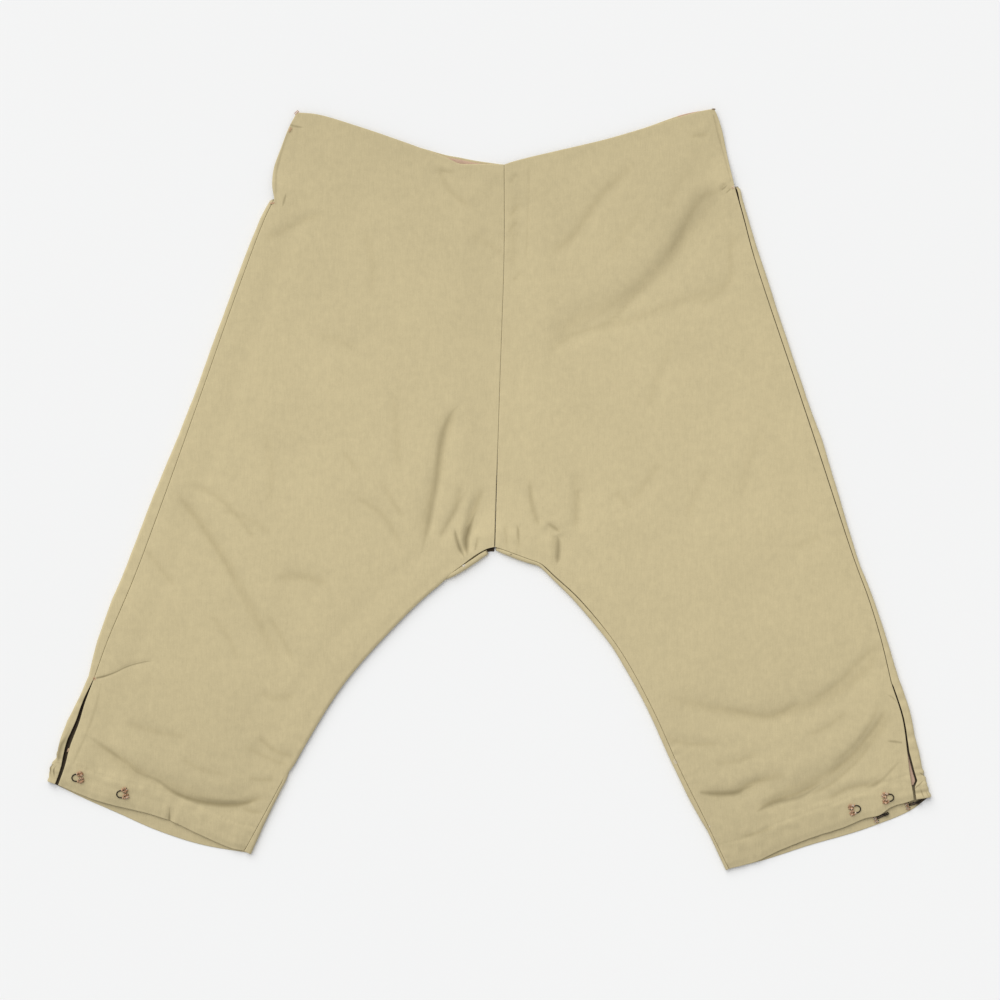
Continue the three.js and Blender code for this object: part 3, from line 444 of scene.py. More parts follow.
class SmoothCurve:
    """A centripetal Catmull-Rom curve through rows of x and y, read by its share of length.

    Between two rows it is the cubic whose end slopes come from the three nearest chords, each weighted
    by the square root of its length.
    """

    STEPS = 200

    def __init__(self, rows: Rows) -> None:
        """Prepares the curve.

        Args:
            rows: the points that it passes through, with x and y in columns.
        """
        points = np.asarray(rows, float)
        self.spans = len(points) - 1
        before, after = 2 * points[0] - points[1], 2 * points[-1] - points[-2]
        self.padded = np.vstack([before, points, after])
        self.parameters = np.linspace(0, 1, self.STEPS + 1)
        chords = np.linalg.norm(np.diff(self.at_parameter(self.parameters), axis=0), axis=1)
        self.travel = np.concatenate([[0], np.cumsum(chords)])
        self.length = float(self.travel[-1])

    def at_parameter(self, parameter: Array) -> Array:
        """Points of the cubics at shares of their number.

        Args:
            parameter: from 0 at the first row to 1 at the last.

        Returns:
            The points.
        """
        place = np.clip(parameter, 0, 1) * self.spans
        first = np.minimum(place.astype(int), self.spans - 1)
        w = (place - first)[..., None]
        a, b, c, d = (self.padded[first + k] for k in range(4))
        chords = ((a, b), (b, c), (c, d))
        ab, bc, cd = (np.sqrt(np.linalg.norm(q - p, axis=-1, keepdims=True)) for p, q in chords)
        start = ((b - a) / ab - (c - a) / (ab + bc) + (c - b) / bc) * bc
        end = ((c - b) / bc - (d - b) / (bc + cd) + (d - c) / cd) * bc
        return b + w * start + w**2 * (3 * (c - b) - 2 * start - end) + w**3 * (2 * (b - c) + start + end)

    def at(self, share: Array) -> Array:
        """Points at shares of the curve's length."""
        return self.at_parameter(np.interp(share, self.travel / self.length, self.parameters))

    def heading(self, share: Array) -> Array:
        """Unit vectors along the curve: the chord from a little before each place to a little after it.

        Args:
            share: places, as shares of the length.

        Returns:
            The vectors.
        """
        step = 1e-3
        along = self.at(np.minimum(share + step, 1)) - self.at(np.maximum(share - step, 0))
        return along / np.linalg.norm(along, axis=-1, keepdims=True)


class Edge:
    """An edge from the waist to the hem, made of curves that each fill their own share of the way."""

    def __init__(self, stretches: Sequence[tuple[float, Rows]], shift: float = 0.0) -> None:
        """Prepares the edge.

        Args:
            stretches: for each curve the share at which it ends, and its rows.
            shift: distance by which the whole edge is moved along +X.
        """
        self.ends = [end for end, _ in stretches]
        self.starts = [0.0, *self.ends[:-1]]
        self.curves = [SmoothCurve(rows) for _, rows in stretches]
        self.shift = np.array([shift, 0.0])

    def _read(self, v: Array, read: Callable[[SmoothCurve, Array], Array]) -> Array:
        """Reads each curve over its own share of v and puts the results together.

        Args:
            v: shares of the way.
            read: what is read of a curve at shares of its length.

        Returns:
            What was read.
        """
        v = np.asarray(v, float)
        result = np.empty(v.shape + (2,))
        for start, end, curve in zip(self.starts, self.ends, self.curves):
            inside = (v > start) & (v <= end) if start > 0 else v <= end
            result[inside] = read(curve, (v[inside] - start) / (end - start))
        return result

    def at(self, v: Array) -> Array:
        """Points at shares of the way."""
        return self._read(v, SmoothCurve.at) + self.shift

    def heading(self, v: Array) -> Array:
        """Unit vectors towards the hem."""
        return self._read(v, SmoothCurve.heading)

    def line(self, start: float, end: float, count: int = 97) -> Array:
        """Points of a broken line along a stretch of the edge."""
        return self.at(np.linspace(start, end, count))


@dataclass(frozen=True)
class Nearest:
    """Nearest point of a broken line to each point of an array."""

    distance: Array
    left: Array  # 1 on the left of the line as it runs, -1 on its right
    share: Array  # how far along the line, from 0 to 1


def nearest_on(line: Array, x: Array, y: Array) -> Nearest:
    """Finds the nearest point of a broken line.

    Each point is set against each straight piece of the line, and the smallest distance is kept.

    Args:
        line: points of the line.
        x: places to measure from.
        y: places to measure from.

    Returns:
        The distance, side and share at each place.
    """
    distance, left, share = np.full(x.shape, np.inf), np.ones(x.shape), np.zeros(x.shape)
    count = len(line) - 1
    for k in range(count):
        (sx, sy), (dx, dy) = line[k], line[k + 1] - line[k]
        t = np.clip(((x - sx) * dx + (y - sy) * dy) / (dx * dx + dy * dy), 0, 1)
        off_x, off_y = x - sx - t * dx, y - sy - t * dy
        away = np.hypot(off_x, off_y)
        closer = away < distance
        distance = np.where(closer, away, distance)
        left = np.where(closer, np.where(dx * off_y - dy * off_x < 0, -1.0, 1.0), left)
        share = np.where(closer, (k + t) / count, share)
    return Nearest(distance, left, share)


def smoothstep(value: Array, low: float, high: float) -> Array:
    """Smooth step from 0 at low to 1 at high: 3 t squared less 2 t cubed."""
    t = np.clip((value - low) / (high - low), 0, 1)
    return t * t * (3 - 2 * t)


def lerp(a: Any, b: Any, t: Any) -> Any:
    """Straight mix of a and b."""
    return a + (b - a) * t


def read_table(rows: Rows, column: int, share: Array) -> Array:
    """Value of one column of a table at shares of the way, straight between its rows."""
    table = np.asarray(rows, float)
    return np.interp(share, table[:, 0], table[:, column])


def spread(spans: Rows) -> Array:
    """Shares of a way, with the steps of each span evenly spaced.

    Args:
        spans: for each span its end and how many steps lead there.

    Returns:
        The shares, from 0 to 1.
    """
    shares = [0.0]
    for end, steps in spans:
        shares.extend(np.linspace(shares[-1], end, int(steps) + 1)[1:])
    return np.array(shares)


def waves(along: Array, seed: int, low: float, high: float, count: int = 9) -> Array:
    """Uneven waves along a length: a sum of sines of random lengths and phases, over the root of count.

    Args:
        along: places along it.
        seed: of the random sines.
        low: the shortest wave.
        high: the longest wave.
        count: of the sines.

    Returns:
        The heights, about -1 to 1.
    """
    random = np.random.default_rng(seed)
    lengths = random.uniform(low, high, count)
    phases = random.uniform(0, 2 * math.pi, count)
    sines = np.sin(2 * math.pi * along[..., None] / lengths + phases)
    return sines.sum(-1) / math.sqrt(count)


def ripples(x: Array, y: Array, seed: int, low: float, high: float, count: int = 14) -> Array:
    """Uneven ripples over a surface: a sum of sines in random directions, over the root of count.

    Args:
        x: places.
        y: places.
        seed: of the random sines.
        low: the shortest wave.
        high: the longest wave.
        count: of the sines.

    Returns:
        The heights, about -1 to 1.
    """
    random = np.random.default_rng(seed)
    total = np.zeros(x.shape)
    lengths = random.uniform(low, high, count)
    turns = random.uniform(0, math.pi, count)
    phases = random.uniform(0, 2 * math.pi, count)
    for length, turn, phase in zip(lengths, turns, phases):
        total += np.sin(2 * math.pi * (x * math.cos(turn) + y * math.sin(turn)) / length + phase)
    return total / math.sqrt(count)


# ---------- The outline of one half ----------


class Half:
    """The edges of one half of the garment, worked out from its outline."""

    def __init__(self, outline: Outline) -> None:
        """Prepares the edges.

        Args:
            outline: the tables of the half.
        """
        self.outline = outline
        self.side = outline.side.value
        shift = self.side * (GAP - SEAM_CLOSE) / 2
        self.outer = Edge(((OPENING_END, outline.opening), (SLIT_TOP, outline.seam), (1.0, outline.slit)))
        self.inner = Edge(((CROTCH, CENTRE_SEAM), (1.0, outline.inseam)), shift)
        self.waist = self.span(self.outer, 0.0, outline.waist, self.inner)
        self.hem = self.span(self.outer, 1.0, outline.hem, self.inner)

    @staticmethod
    def span(outer: Any, v: float, rows: Rows, inner: Any) -> SmoothCurve:
        """A curve from the outer edge to the inner one, through rows."""
        start, end = (edge.at(np.array([v]))[0] for edge in (outer, inner))
        return SmoothCurve([start, *rows, end])

    def outward(self, edge: Edge, turn: int, v: Array) -> Array:
        """Unit vectors out of the half at right angles to an edge; turn is 1 for the outer edge, else -1."""
        heading = edge.heading(v)
        return self.side * turn * np.stack([-heading[..., 1], heading[..., 0]], -1)

    def tuck(self, v: Array) -> Array:
        """How far the front hides the inseam's roll, from 0 to 1."""
        return smoothstep(read_table(self.outline.tuck, 1, v), 0, 1)

    def front_inner(self, v: Array) -> Array:
        """The front's inner edge, which covers the inseam's roll where it is tucked under.

        Args:
            v: shares of the way.

        Returns:
            Its points.
        """
        gape = smoothstep(v, *SEAM_OPENS) * (v < CROTCH)
        reach = TUCK_REACH * self.tuck(v) - SEAM_OPEN * gape
        return self.inner.at(v) + self.outward(self.inner, -1, v) * reach[:, None]


@dataclass
class Panel:
    """A panel between four edges."""

    outer: Callable[[Array], Array]  # points of the outer edge at shares from top to bottom
    inner: Callable[[Array], Array]
    top: SmoothCurve  # from the outer to the inner edge
    bottom: SmoothCurve

    def at(self, u: Array, v: Array) -> Array:
        """Points at rows of v and columns of u.

        A point is the mix of the two sides, plus the mix of the two ends, less that of the corners.

        Args:
            u: shares from the outer to the inner edge.
            v: shares from top to bottom.

        Returns:
            The points.
        """
        across, down = u[None, :, None], v[:, None, None]
        ends_of_way = np.array([0.0, 1.0])
        outer_ends, inner_ends = self.outer(ends_of_way), self.inner(ends_of_way)
        sides = lerp(self.outer(v)[:, None], self.inner(v)[:, None], across)
        ends = lerp(self.top.at(u)[None], self.bottom.at(u)[None], down)
        top_corners, bottom_corners = (lerp(outer_ends[k], inner_ends[k], across) for k in (0, 1))
        return sides + ends - lerp(top_corners, bottom_corners, down)


# ---------- Meshes ----------

TIP_LENGTH = 0.4  # of a tube's blunt ends, as a share of its radius
TIP_RADIUS = 0.02


@dataclass
class Mesh:
    """Points and four-sided faces, with values on the points."""

    points: Array
    faces: Array
    values: dict[str, Array] = field(default_factory=dict)

    def build(self, name: str) -> bpy.types.Object:
        """Makes an object of the mesh, in metres and smooth.

        Args:
            name: the object's name.

        Returns:
            The new object, at the origin.
        """
        data = bpy.data.meshes.new(name)
        data.vertices.add(len(self.points))
        data.vertices.foreach_set("co", (self.points * MM).astype(np.float32).ravel())
        sides = self.faces.shape[1]
        data.loops.add(self.faces.size)
        data.loops.foreach_set("vertex_index", self.faces.astype(np.int32).ravel())
        data.polygons.add(len(self.faces))
        data.polygons.foreach_set("loop_start", np.arange(0, self.faces.size, sides, dtype=np.int32))
        data.polygons.foreach_set("use_smooth", np.ones(len(self.faces), bool))
        data.update(calc_edges=True)
        for key, value in self.values.items():
            data.attributes.new(key, "FLOAT", "POINT").data.foreach_set("value", value.astype(np.float32))
        piece = bpy.data.objects.new(name, data)
        bpy.context.scene.collection.objects.link(piece)
        return piece


def join(meshes: Sequence[Mesh]) -> Mesh:
    """Puts meshes together.

    Args:
        meshes: the parts, whose values have the same names.

    Returns:
        One mesh of all parts.
    """
    starts = np.cumsum([0, *(len(mesh.points) for mesh in meshes[:-1])])
    return Mesh(
        np.vstack([mesh.points for mesh in meshes]),
        np.vstack([mesh.faces + start for mesh, start in zip(meshes, starts)]),
        {key: np.concatenate([mesh.values[key] for mesh in meshes]) for key in meshes[0].values},
    )


def finished(mesh: Mesh, name: str, material: bpy.types.Material, node: str) -> bpy.types.Object:
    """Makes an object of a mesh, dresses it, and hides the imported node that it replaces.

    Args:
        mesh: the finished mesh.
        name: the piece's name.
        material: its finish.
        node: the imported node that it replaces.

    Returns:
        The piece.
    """
    piece = mesh.build(name)
    piece.data.materials.append(material)
    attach(piece, BODY)
    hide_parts(node)
    return piece


def unit(vectors: Array) -> Array:
    """Vectors brought to length one."""
    return vectors / np.maximum(np.linalg.norm(vectors, axis=-1, keepdims=True), 1e-12)


def grid_normals(grid: Array, mirror: int) -> Array:
    """Unit normals of a grid: across its columns and its rows, turned by mirror."""
    down, across = np.gradient(grid, axis=0), np.gradient(grid, axis=1)
    return unit(mirror * np.cross(down, across))


def shell(grid: Array, wall: float, mirror: int, keep: Array | None = None, upright: bool = False,
          shade: Array | None = None, crease: Array | None = None) -> Mesh:
    """Closes a thin wall with round edges about a grid of its middle surface.

    Each side lies away from the grid along its normals by half the wall times the square root of
    1 - (1 - d) squared, where d is the distance from the cloth's edge as a share of EDGE_RUN.

    Args:
        grid: rows, columns and x, y, z of the middle surface.
        wall: thickness of the cloth.
        mirror: 1 where columns across rows point up, else -1.
        keep: which cells are cloth.
        upright: whether the wall is measured along Z rather than along the normals.
        shade: a value from 0 to 1 for each point, for the finish's painted shadow in slits and at the crotch.
            The upper side of the wall takes it.
        crease: another one of the same kind, for the painted shade in creases.

    Returns:
        The closed mesh, with the values shade, crease and edge, which is 1 at the cloth's edge.
    """
    rows, columns = grid.shape[:2]
    index = np.arange(rows * columns).reshape(rows, columns)
    keep = np.ones((rows - 1, columns - 1), bool) if keep is None else keep
    cells = np.stack([index[:-1, :-1], index[1:, :-1], index[1:, 1:], index[:-1, 1:]], -1)[keep]
    if mirror < 0:
        cells = cells[:, ::-1]

    edges = np.vstack([cells[:, [k, (k + 1) % 4]] for k in range(4)])
    keys, counts = np.unique(np.sort(edges, 1), axis=0, return_counts=True)
    rim = np.zeros(rows * columns, bool)
    rim[np.unique(keys[counts == 1])] = True

    points = grid.reshape(-1, 3)
    rim_points = points[rim]
    away = np.full(len(points), np.inf)
    for part in np.array_split(np.arange(len(points)), RIM_PARTS):
        away[part] = np.sqrt(((points[part, None] - rim_points[None]) ** 2).sum(-1).min(1))
    share = np.clip(away / EDGE_RUN, 0, 1)
    half_wall = wall / 2 * np.sqrt(1 - (1 - share) ** 2)
    normals = np.zeros_like(grid) + (0, 0, 1) if upright else grid_normals(grid, mirror)
    reach = normals.reshape(-1, 3) * half_wall[:, None]

    lower = np.where(rim, np.arange(len(points)), np.arange(len(points)) + len(points))
    faces = np.vstack([cells, lower[cells][:, ::-1]])
    used = np.unique(faces)
    renumber = np.full(2 * len(points), -1)
    renumber[used] = np.arange(len(used))
    blank = np.zeros(len(points))
    values = {name: np.concatenate([blank if value is None else value.ravel(), blank])[used]
              for name, value in (("shade", shade), ("crease", crease))}
    values["edge"] = np.tile(np.exp(-away / EDGE_WEAR), 2)[used]
    return Mesh(np.vstack([points + reach, points - reach])[used], renumber[faces], values)


def tube(path: Array, radius: float | Array, sides: int = 8, tone: float = 0.0,
         reference: Sequence[float] = (0.0, 0.0, 1.0)) -> Mesh:
    """A closed round tube along a path.

    Each ring is the circle of the given radius in the plane of two vectors: the path's direction
    crossed with the reference, and that crossed with the direction. Both ends close to a point.

    Args:
        path: points of the centre line.
        radius: of the tube, or one for each point.
        sides: of each ring.
        tone: value that the finish reads.
        reference: a direction that the path never takes.

    Returns:
        The mesh, with the value tone.
    """
    path = np.asarray(path, float)
    radius = np.broadcast_to(radius, len(path)).astype(float)
    along = unit(np.gradient(path, axis=0))
    across = unit(np.cross(along, np.asarray(reference, float)))
    up = np.cross(across, along)
    first, last = along[0] * radius[0], along[-1] * radius[-1]
    path = np.vstack([path[0] - first * TIP_LENGTH, path, path[-1] + last * TIP_LENGTH])
    across, up = (np.vstack([part[0], part, part[-1]]) for part in (across, up))
    radius = np.concatenate([[TIP_RADIUS * radius[0]], radius, [TIP_RADIUS * radius[-1]]])
    turn = np.linspace(0, 2 * math.pi, sides, endpoint=False)
    ring = np.cos(turn)[None, :, None] * across[:, None] + np.sin(turn)[None, :, None] * up[:, None]
    points = (path[:, None] + radius[:, None, None] * ring).reshape(-1, 3)
    index = np.arange(len(points)).reshape(-1, sides)
    beside = np.roll(index, -1, 1)
    walls = np.stack([index[:-1], beside[:-1], beside[1:], index[1:]], -1).reshape(-1, 4)
    caps = []
    for ends, flip in ((index[0], False), (index[-1], True)):
        for k in range(1, sides // 2):
            quad = [ends[k - 1], ends[k], ends[sides - 1 - k], ends[(sides - k) % sides]]
            caps.append(quad if flip else quad[::-1])
    faces = np.vstack([walls, caps])
    return Mesh(points, faces, {"tone": np.full(len(points), tone)})


# ---------- Shader nodes ----------


class Value:
    """A socket of a material's nodes, on which Python's arithmetic adds Math nodes."""

    def __init__(self, nodes: "Nodes", socket: bpy.types.NodeSocket) -> None:
        """Wraps a socket of the given nodes."""
        self.nodes = nodes
        self.socket = socket

    def _math(self, operation: str, *values: Any) -> "Value":
        """Result of a Math node on the values."""
        return self.nodes.add("ShaderNodeMath", {"operation": operation}, dict(enumerate(values)))

    def __add__(self, other: Any) -> "Value":
        """Sum."""
        return self._math("ADD", self, other)

    __radd__ = __add__

    def __sub__(self, other: Any) -> "Value":
        """Difference."""
        return self._math("SUBTRACT", self, other)

    def __rsub__(self, other: Any) -> "Value":
        """Difference, with the number first."""
        return self._math("SUBTRACT", other, self)

    def __mul__(self, other: Any) -> "Value":
        """Product."""
        return self._math("MULTIPLY", self, other)

    __rmul__ = __mul__

    def absolute(self) -> "Value":
        """Size without its sign."""
        return self._math("ABSOLUTE", self)

    def clamped(self) -> "Value":
        """Value kept from 0 to 1."""
        return self.nodes.add("ShaderNodeClamp", {}, {"Value": self})


class Nodes:
    """The node tree of one material."""

    def __init__(self, name: str) -> None:
        """Makes a material with a plain Principled shader.

        Args:
            name: the material's name.
        """
        self.material = bpy.data.materials.new(name)
        self.material.use_nodes = True
        self.tree = self.material.node_tree
        self.shader = next(node for node in self.tree.nodes if node.type == "BSDF_PRINCIPLED")

    def add(self, kind: str, settings: dict[str, Any], inputs: dict[Any, Any],
            output: int | str = 0) -> Value:
        """Adds a node.

        Args:
            kind: the node's type.
            settings: its own settings, which are set first.
            inputs: values or links of its sockets, by name or number.
            output: which output is wanted.

        Returns:
            The wanted output.
        """
        node = self.tree.nodes.new(kind)
        for key, setting in settings.items():
            if key == "stops":
                self._set_stops(node, setting)
            elif key == "points":
                self._set_points(node, setting)
            else:
                setattr(node, key, setting)
        for key, value in inputs.items():
            self.link(node.inputs[key], value)
        return Value(self, node.outputs[output])

    @staticmethod
    def _set_stops(node: bpy.types.Node, stops: Sequence[tuple[float, Sequence[float]]]) -> None:
        """Gives a colour ramp its stops.

        Args:
            node: the ramp.
            stops: the place and the colour of each.
        """
        elements = node.color_ramp.elements
        elements[0].position, elements[-1].position = stops[0][0], stops[-1][0]
        for place, _ in stops[1:-1]:
            elements.new(place)
        for element, (_, colour) in zip(sorted(elements, key=lambda e: e.position), stops):
            element.color = (*colour, 1.0)

    @staticmethod
    def _set_points(node: bpy.types.Node, points: Sequence[tuple[float, float]]) -> None:
        """Gives a curve its points, which it passes smoothly.

        Args:
            node: the curve.
            points: the place and the value of each.
        """
        curve = node.mapping.curves[0].points
        curve[0].location, curve[-1].location = points[0], points[-1]
        for place, value in points[1:-1]:
            curve.new(place, value)
        for point in curve:
            point.handle_type = "AUTO_CLAMPED"
        node.mapping.update()

    def link(self, socket: bpy.types.NodeSocket, value: Any) -> None:
        """Links a value to a socket, or sets it there.

        Args:
            socket: the input.
            value: a node's output, or a number, vector or colour.
        """
        if isinstance(value, Value):
            self.tree.links.new(value.socket, socket)
        else:
            socket.default_value = value

    def dress(self, inputs: dict[str, Any]) -> bpy.types.Material:
        """Sets or links the shader's own sockets.

        Args:
            inputs: values or links, by the socket's name.

        Returns:
            The material.
        """
        for key, value in inputs.items():
            self.link(self.shader.inputs[key], value)
        return self.material

    def place(self, scale: Sequence[float] = (1.0, 1.0, 1.0), turn: float = 0.0) -> Value:
        """Object coordinates, scaled and turned.

        Args:
            scale: along X, Y and Z.
            turn: about Z, in radians.

        Returns:
            The vector.
        """
        coordinates = self.add("ShaderNodeTexCoord", {}, {}, "Object")
        return self.add(
            "ShaderNodeMapping", {}, {"Vector": coordinates, "Scale": scale, "Rotation": (0.0, 0.0, turn)}
        )

    def plan_position(self) -> tuple[Value, Value]:
        """The object's own X and Y."""
        x = self.add("ShaderNodeSeparateXYZ", {}, {0: self.place()})
        return x, Value(self, x.socket.node.outputs[1])

    def curve(self, place: Value, shares: Array, values: Array) -> Value:
        """Value at a place on a smooth curve, both from 0 to 1."""
        points = [(float(share), float(value)) for share, value in zip(shares, values)]
        return self.add("ShaderNodeFloatCurve", {"points": points}, {"Value": place})

    def noise(self, vector: Value, scale: float, detail: float = 2.0) -> Value:
        """Noise from 0 to 1 at a place, with so many bumps to the metre."""
        return self.add("ShaderNodeTexNoise", {}, {"Vector": vector, "Scale": scale, "Detail": detail})

    def wave(self, vector: Value, scale: float, direction: str) -> Value:
        """Bands from 0 to 1 along X or Y."""
        settings = {"wave_type": "BANDS", "bands_direction": direction}
        return self.add("ShaderNodeTexWave", settings, {"Vector": vector, "Scale": scale}, "Fac")

    def mix(self, factor: Any, first: Any, second: Any) -> Value:
        """Mix of two colours."""
        return self.add("ShaderNodeMix", {"data_type": "RGBA"}, {0: factor, 6: first, 7: second}, 2)

    def value_of(self, name: str) -> Value:
        """A value held on the mesh's points."""
        return self.add("ShaderNodeAttribute", {"attribute_name": name}, {}, "Fac")

    def bump(self, height: Value, distance: float, strength: float) -> Value:
        """Normal of a height field."""
        return self.add("ShaderNodeBump", {}, {"Height": height, "Distance": distance, "Strength": strength})


def rgba(colour: Sequence[float], share: float = 1.0) -> tuple[float, float, float, float]:
    """A colour times a share, with alpha."""
    return (*(c * share for c in colour), 1.0)


@dataclass(frozen=True)
class Sateen:
    """Cotton sateen: a fine, close weave with a faint sheen, slight unevenness in the dye, painted light that
    falls off towards the waist and the hems, and painted shade in creases and slits.
    """

    name: str = "sateen"
    colour: tuple[float, float, float] = (0.556, 0.468, 0.273)
    # painted shade: the dark colour that is mixed in where shade falls in the creases
    crease_shade: tuple[float, float, float] = (0.260, 0.198, 0.082)  # in its creases
    # painted shadow: a near black colour that stands in for the deep shadow inside the gaping slits and in
    # the crotch's wedge
    inside: tuple[float, float, float] = (0.042, 0.026, 0.014)  # in the dark of slits
    roughness: float = 0.72
    sheen: float = 0.06
    # painted light: the colour is brightest at this Y and darker towards the waist and hems, standing in for
    # the fall-off of light and sheen
    painted_light_peak: float = 0.05  # along Y, in metres
    painted_light_falloff: float = 0.38
    bands: float = 130.0  # scale of the weave's bands
    steep: float = 1e3  # of the start and end of a sharp crease's curve
    creases: tuple[Crease, ...] = ()

    def _line(self, nodes: Nodes, position: tuple[Value, Value], crease: Crease) -> Value:
        """How dark one sharp crease is.

        It is strength times the half width less the distance from the line, as a share of the largest
        half width. The line is a curve of one coordinate over the other, along which it runs further.

        Args:
            nodes: the material's nodes.
            position: X and Y on the cloth, in metres.
            crease: the crease.

        Returns:
            The darkness, from 0 to its strength.
        """
        table = np.array(crease.rows) * MM
        travel = np.abs(table[-1, :2] - table[0, :2])
        main = int(travel[1] > travel[0])
        table = table[np.argsort(table[:, main])]
        along, across, width = table[:, main], table[:, 1 - main], table[:, 2]
        start, span, low = float(along[0]), float(np.ptp(along)), float(across.min())
        size, widest = float(np.ptp(across)), float(width.max())
        share = (position[main] - start) * (1 / span)
        centre = nodes.curve(share, (along - start) / span, (across - low) / size) * size + low
        reach = nodes.curve(share, (along - start) / span, width / widest)
        inside = (share * self.steep).clamped() * (self.steep - share * self.steep).clamped()
        away = (position[1 - main] - centre).absolute() * (1 / widest)
        return (reach - away).clamped() * inside * crease.strength

    def material(self) -> bpy.types.Material:
        """Makes the material.

        Cloud noise at two scales and thin streaks along the yarns change the colour by a few hundredths,
        and painted light makes it a little darker towards the waist and the hems. Painted shade darkens the
        creases, and painted shadow darkens the gaping slits and the crotch.
        The weave's height is two crossed sines, the warp's being the stronger.

        Returns:
            The material.
        """
        nodes = Nodes(self.name)
        grain = nodes.place()
        streaks = nodes.place((1.0, 0.12, 1.0))
        clouds = nodes.noise(grain, 14.0, 3.0)
        mottle = nodes.noise(grain, 160.0, 4.0)
        slubs = nodes.noise(streaks, 900.0, 2.0)
        grit = nodes.noise(grain, 900.0, 2.0)
        position = nodes.plan_position()
        # painted light: the colour darkens with the square of the distance from the brightest Y
        away = (position[1] - self.painted_light_peak) * (1 / self.painted_light_falloff)
        uneven = 0.24 * clouds + 0.42 * mottle + 0.34 * slubs + 0.34 * grit
        tone = (uneven - 0.05 - 0.30 * (away * away)).clamped()
        cloth = nodes.mix(tone, rgba(self.colour, 0.78), rgba(self.colour, 1.20))
        # painted shade in the folds' creases
        folded = nodes.mix(nodes.value_of("crease") * CREASE_SHADE, cloth, rgba(self.crease_shade))
        # painted shade: sharp dark lines at the cores of creases
        for crease in self.creases:
            folded = nodes.mix(self._line(nodes, position, crease), folded, rgba(self.crease_shade, 0.5))
        worn = nodes.mix(nodes.value_of("edge") * 0.14, folded, rgba(self.colour, 1.22))
        # painted shadow: mixed towards near black where the shade value marks the gaping slits and the crotch
        dark = nodes.mix(nodes.value_of("shade"), worn, rgba(self.inside))
        weave = nodes.wave(grain, self.bands, "X") + 0.5 * nodes.wave(grain, self.bands, "Y")
        height = 0.5 * weave + 1.2 * grit + 0.9 * slubs
        return nodes.dress({
            "Base Color": dark,
            "Roughness": self.roughness + 0.12 * mottle,
            "Normal": nodes.bump(height, 0.00012, 0.35),
            "Sheen Weight": self.sheen,
            "Sheen Roughness": 0.45,
            "Specular IOR Level": 0.32,
        })


@dataclass(frozen=True)
class Lining:
    """Thin pink lining cloth of the facings."""

    name: str = "facing_cloth"
    colour: tuple[float, float, float] = (0.545, 0.375, 0.268)

    def material(self) -> bpy.types.Material:
        """Makes the material: plain weave with soft mottling.

        Returns:
            The material.
        """
        nodes = Nodes(self.name)
        grain = nodes.place(turn=0.5)
        mottle = nodes.noise(grain, 240.0, 3.0)
        cloth = nodes.mix(mottle, rgba(self.colour, 0.82), rgba(self.colour, 1.12))
        weave = nodes.wave(grain, 150.0, "X") + nodes.wave(grain, 150.0, "Y")
        return nodes.dress({
            "Base Color": nodes.mix(nodes.value_of("edge") * 0.25, cloth, rgba(self.colour, 1.2)),
            "Roughness": 0.78 + 0.1 * mottle,
            "Normal": nodes.bump(weave + mottle, 0.0001, 0.3),
            "Specular IOR Level": 0.3,
        })


@dataclass(frozen=True)
class Wire:
    """Black-enamelled steel wire, rubbed brown where it is worn."""

    name: str = "wire_enamel"

    def material(self) -> bpy.types.Material:
        """Makes the material: enamel that noise wears down to brown metal in small patches.

        Returns:
            The material.
        """
        nodes = Nodes(self.name)
        wear = nodes.noise(nodes.place(), 700.0, 3.0)
        worn = ((wear - 0.52) * 5.0).clamped()
        return nodes.dress({
            "Base Color": nodes.mix(worn, rgba((0.014, 0.011, 0.009)), rgba((0.075, 0.045, 0.026))),
            "Roughness": 0.34 + 0.3 * worn,
            "Metallic": 0.75,
        })


@dataclass(frozen=True)
class Thread:
    """Sewing thread, whose colour runs from cream through tan and orange to dark brown with its tone."""

    name: str = "thread"

    def material(self) -> bpy.types.Material:
        """Makes the material: twisted strands as fine diagonal ridges.

        Returns:
            The material.
        """
        nodes = Nodes(self.name)
        stops = (
            (0.00, (0.86, 0.83, 0.76)), (0.30, (0.70, 0.48, 0.31)), (0.50, (0.54, 0.25, 0.105)),
            (0.75, (0.19, 0.085, 0.036)), (1.00, (0.035, 0.018, 0.010)),
        )
        base = nodes.add("ShaderNodeValToRGB", {"stops": stops}, {"Fac": nodes.value_of("tone")}, "Color")
        fuzz = nodes.noise(nodes.place(), 2600.0, 3.0)
        twist = nodes.wave(nodes.place(turn=0.8), 420.0, "X")
        return nodes.dress({
            "Base Color": nodes.mix(0.25 * fuzz, base, rgba((0.70, 0.60, 0.46))),
            "Roughness": 0.7 + 0.15 * fuzz,
            "Normal": nodes.bump(twist + fuzz, 0.0001, 0.5),
            "Sheen Weight": 0.15,
        })


# ---------- Fronts ----------


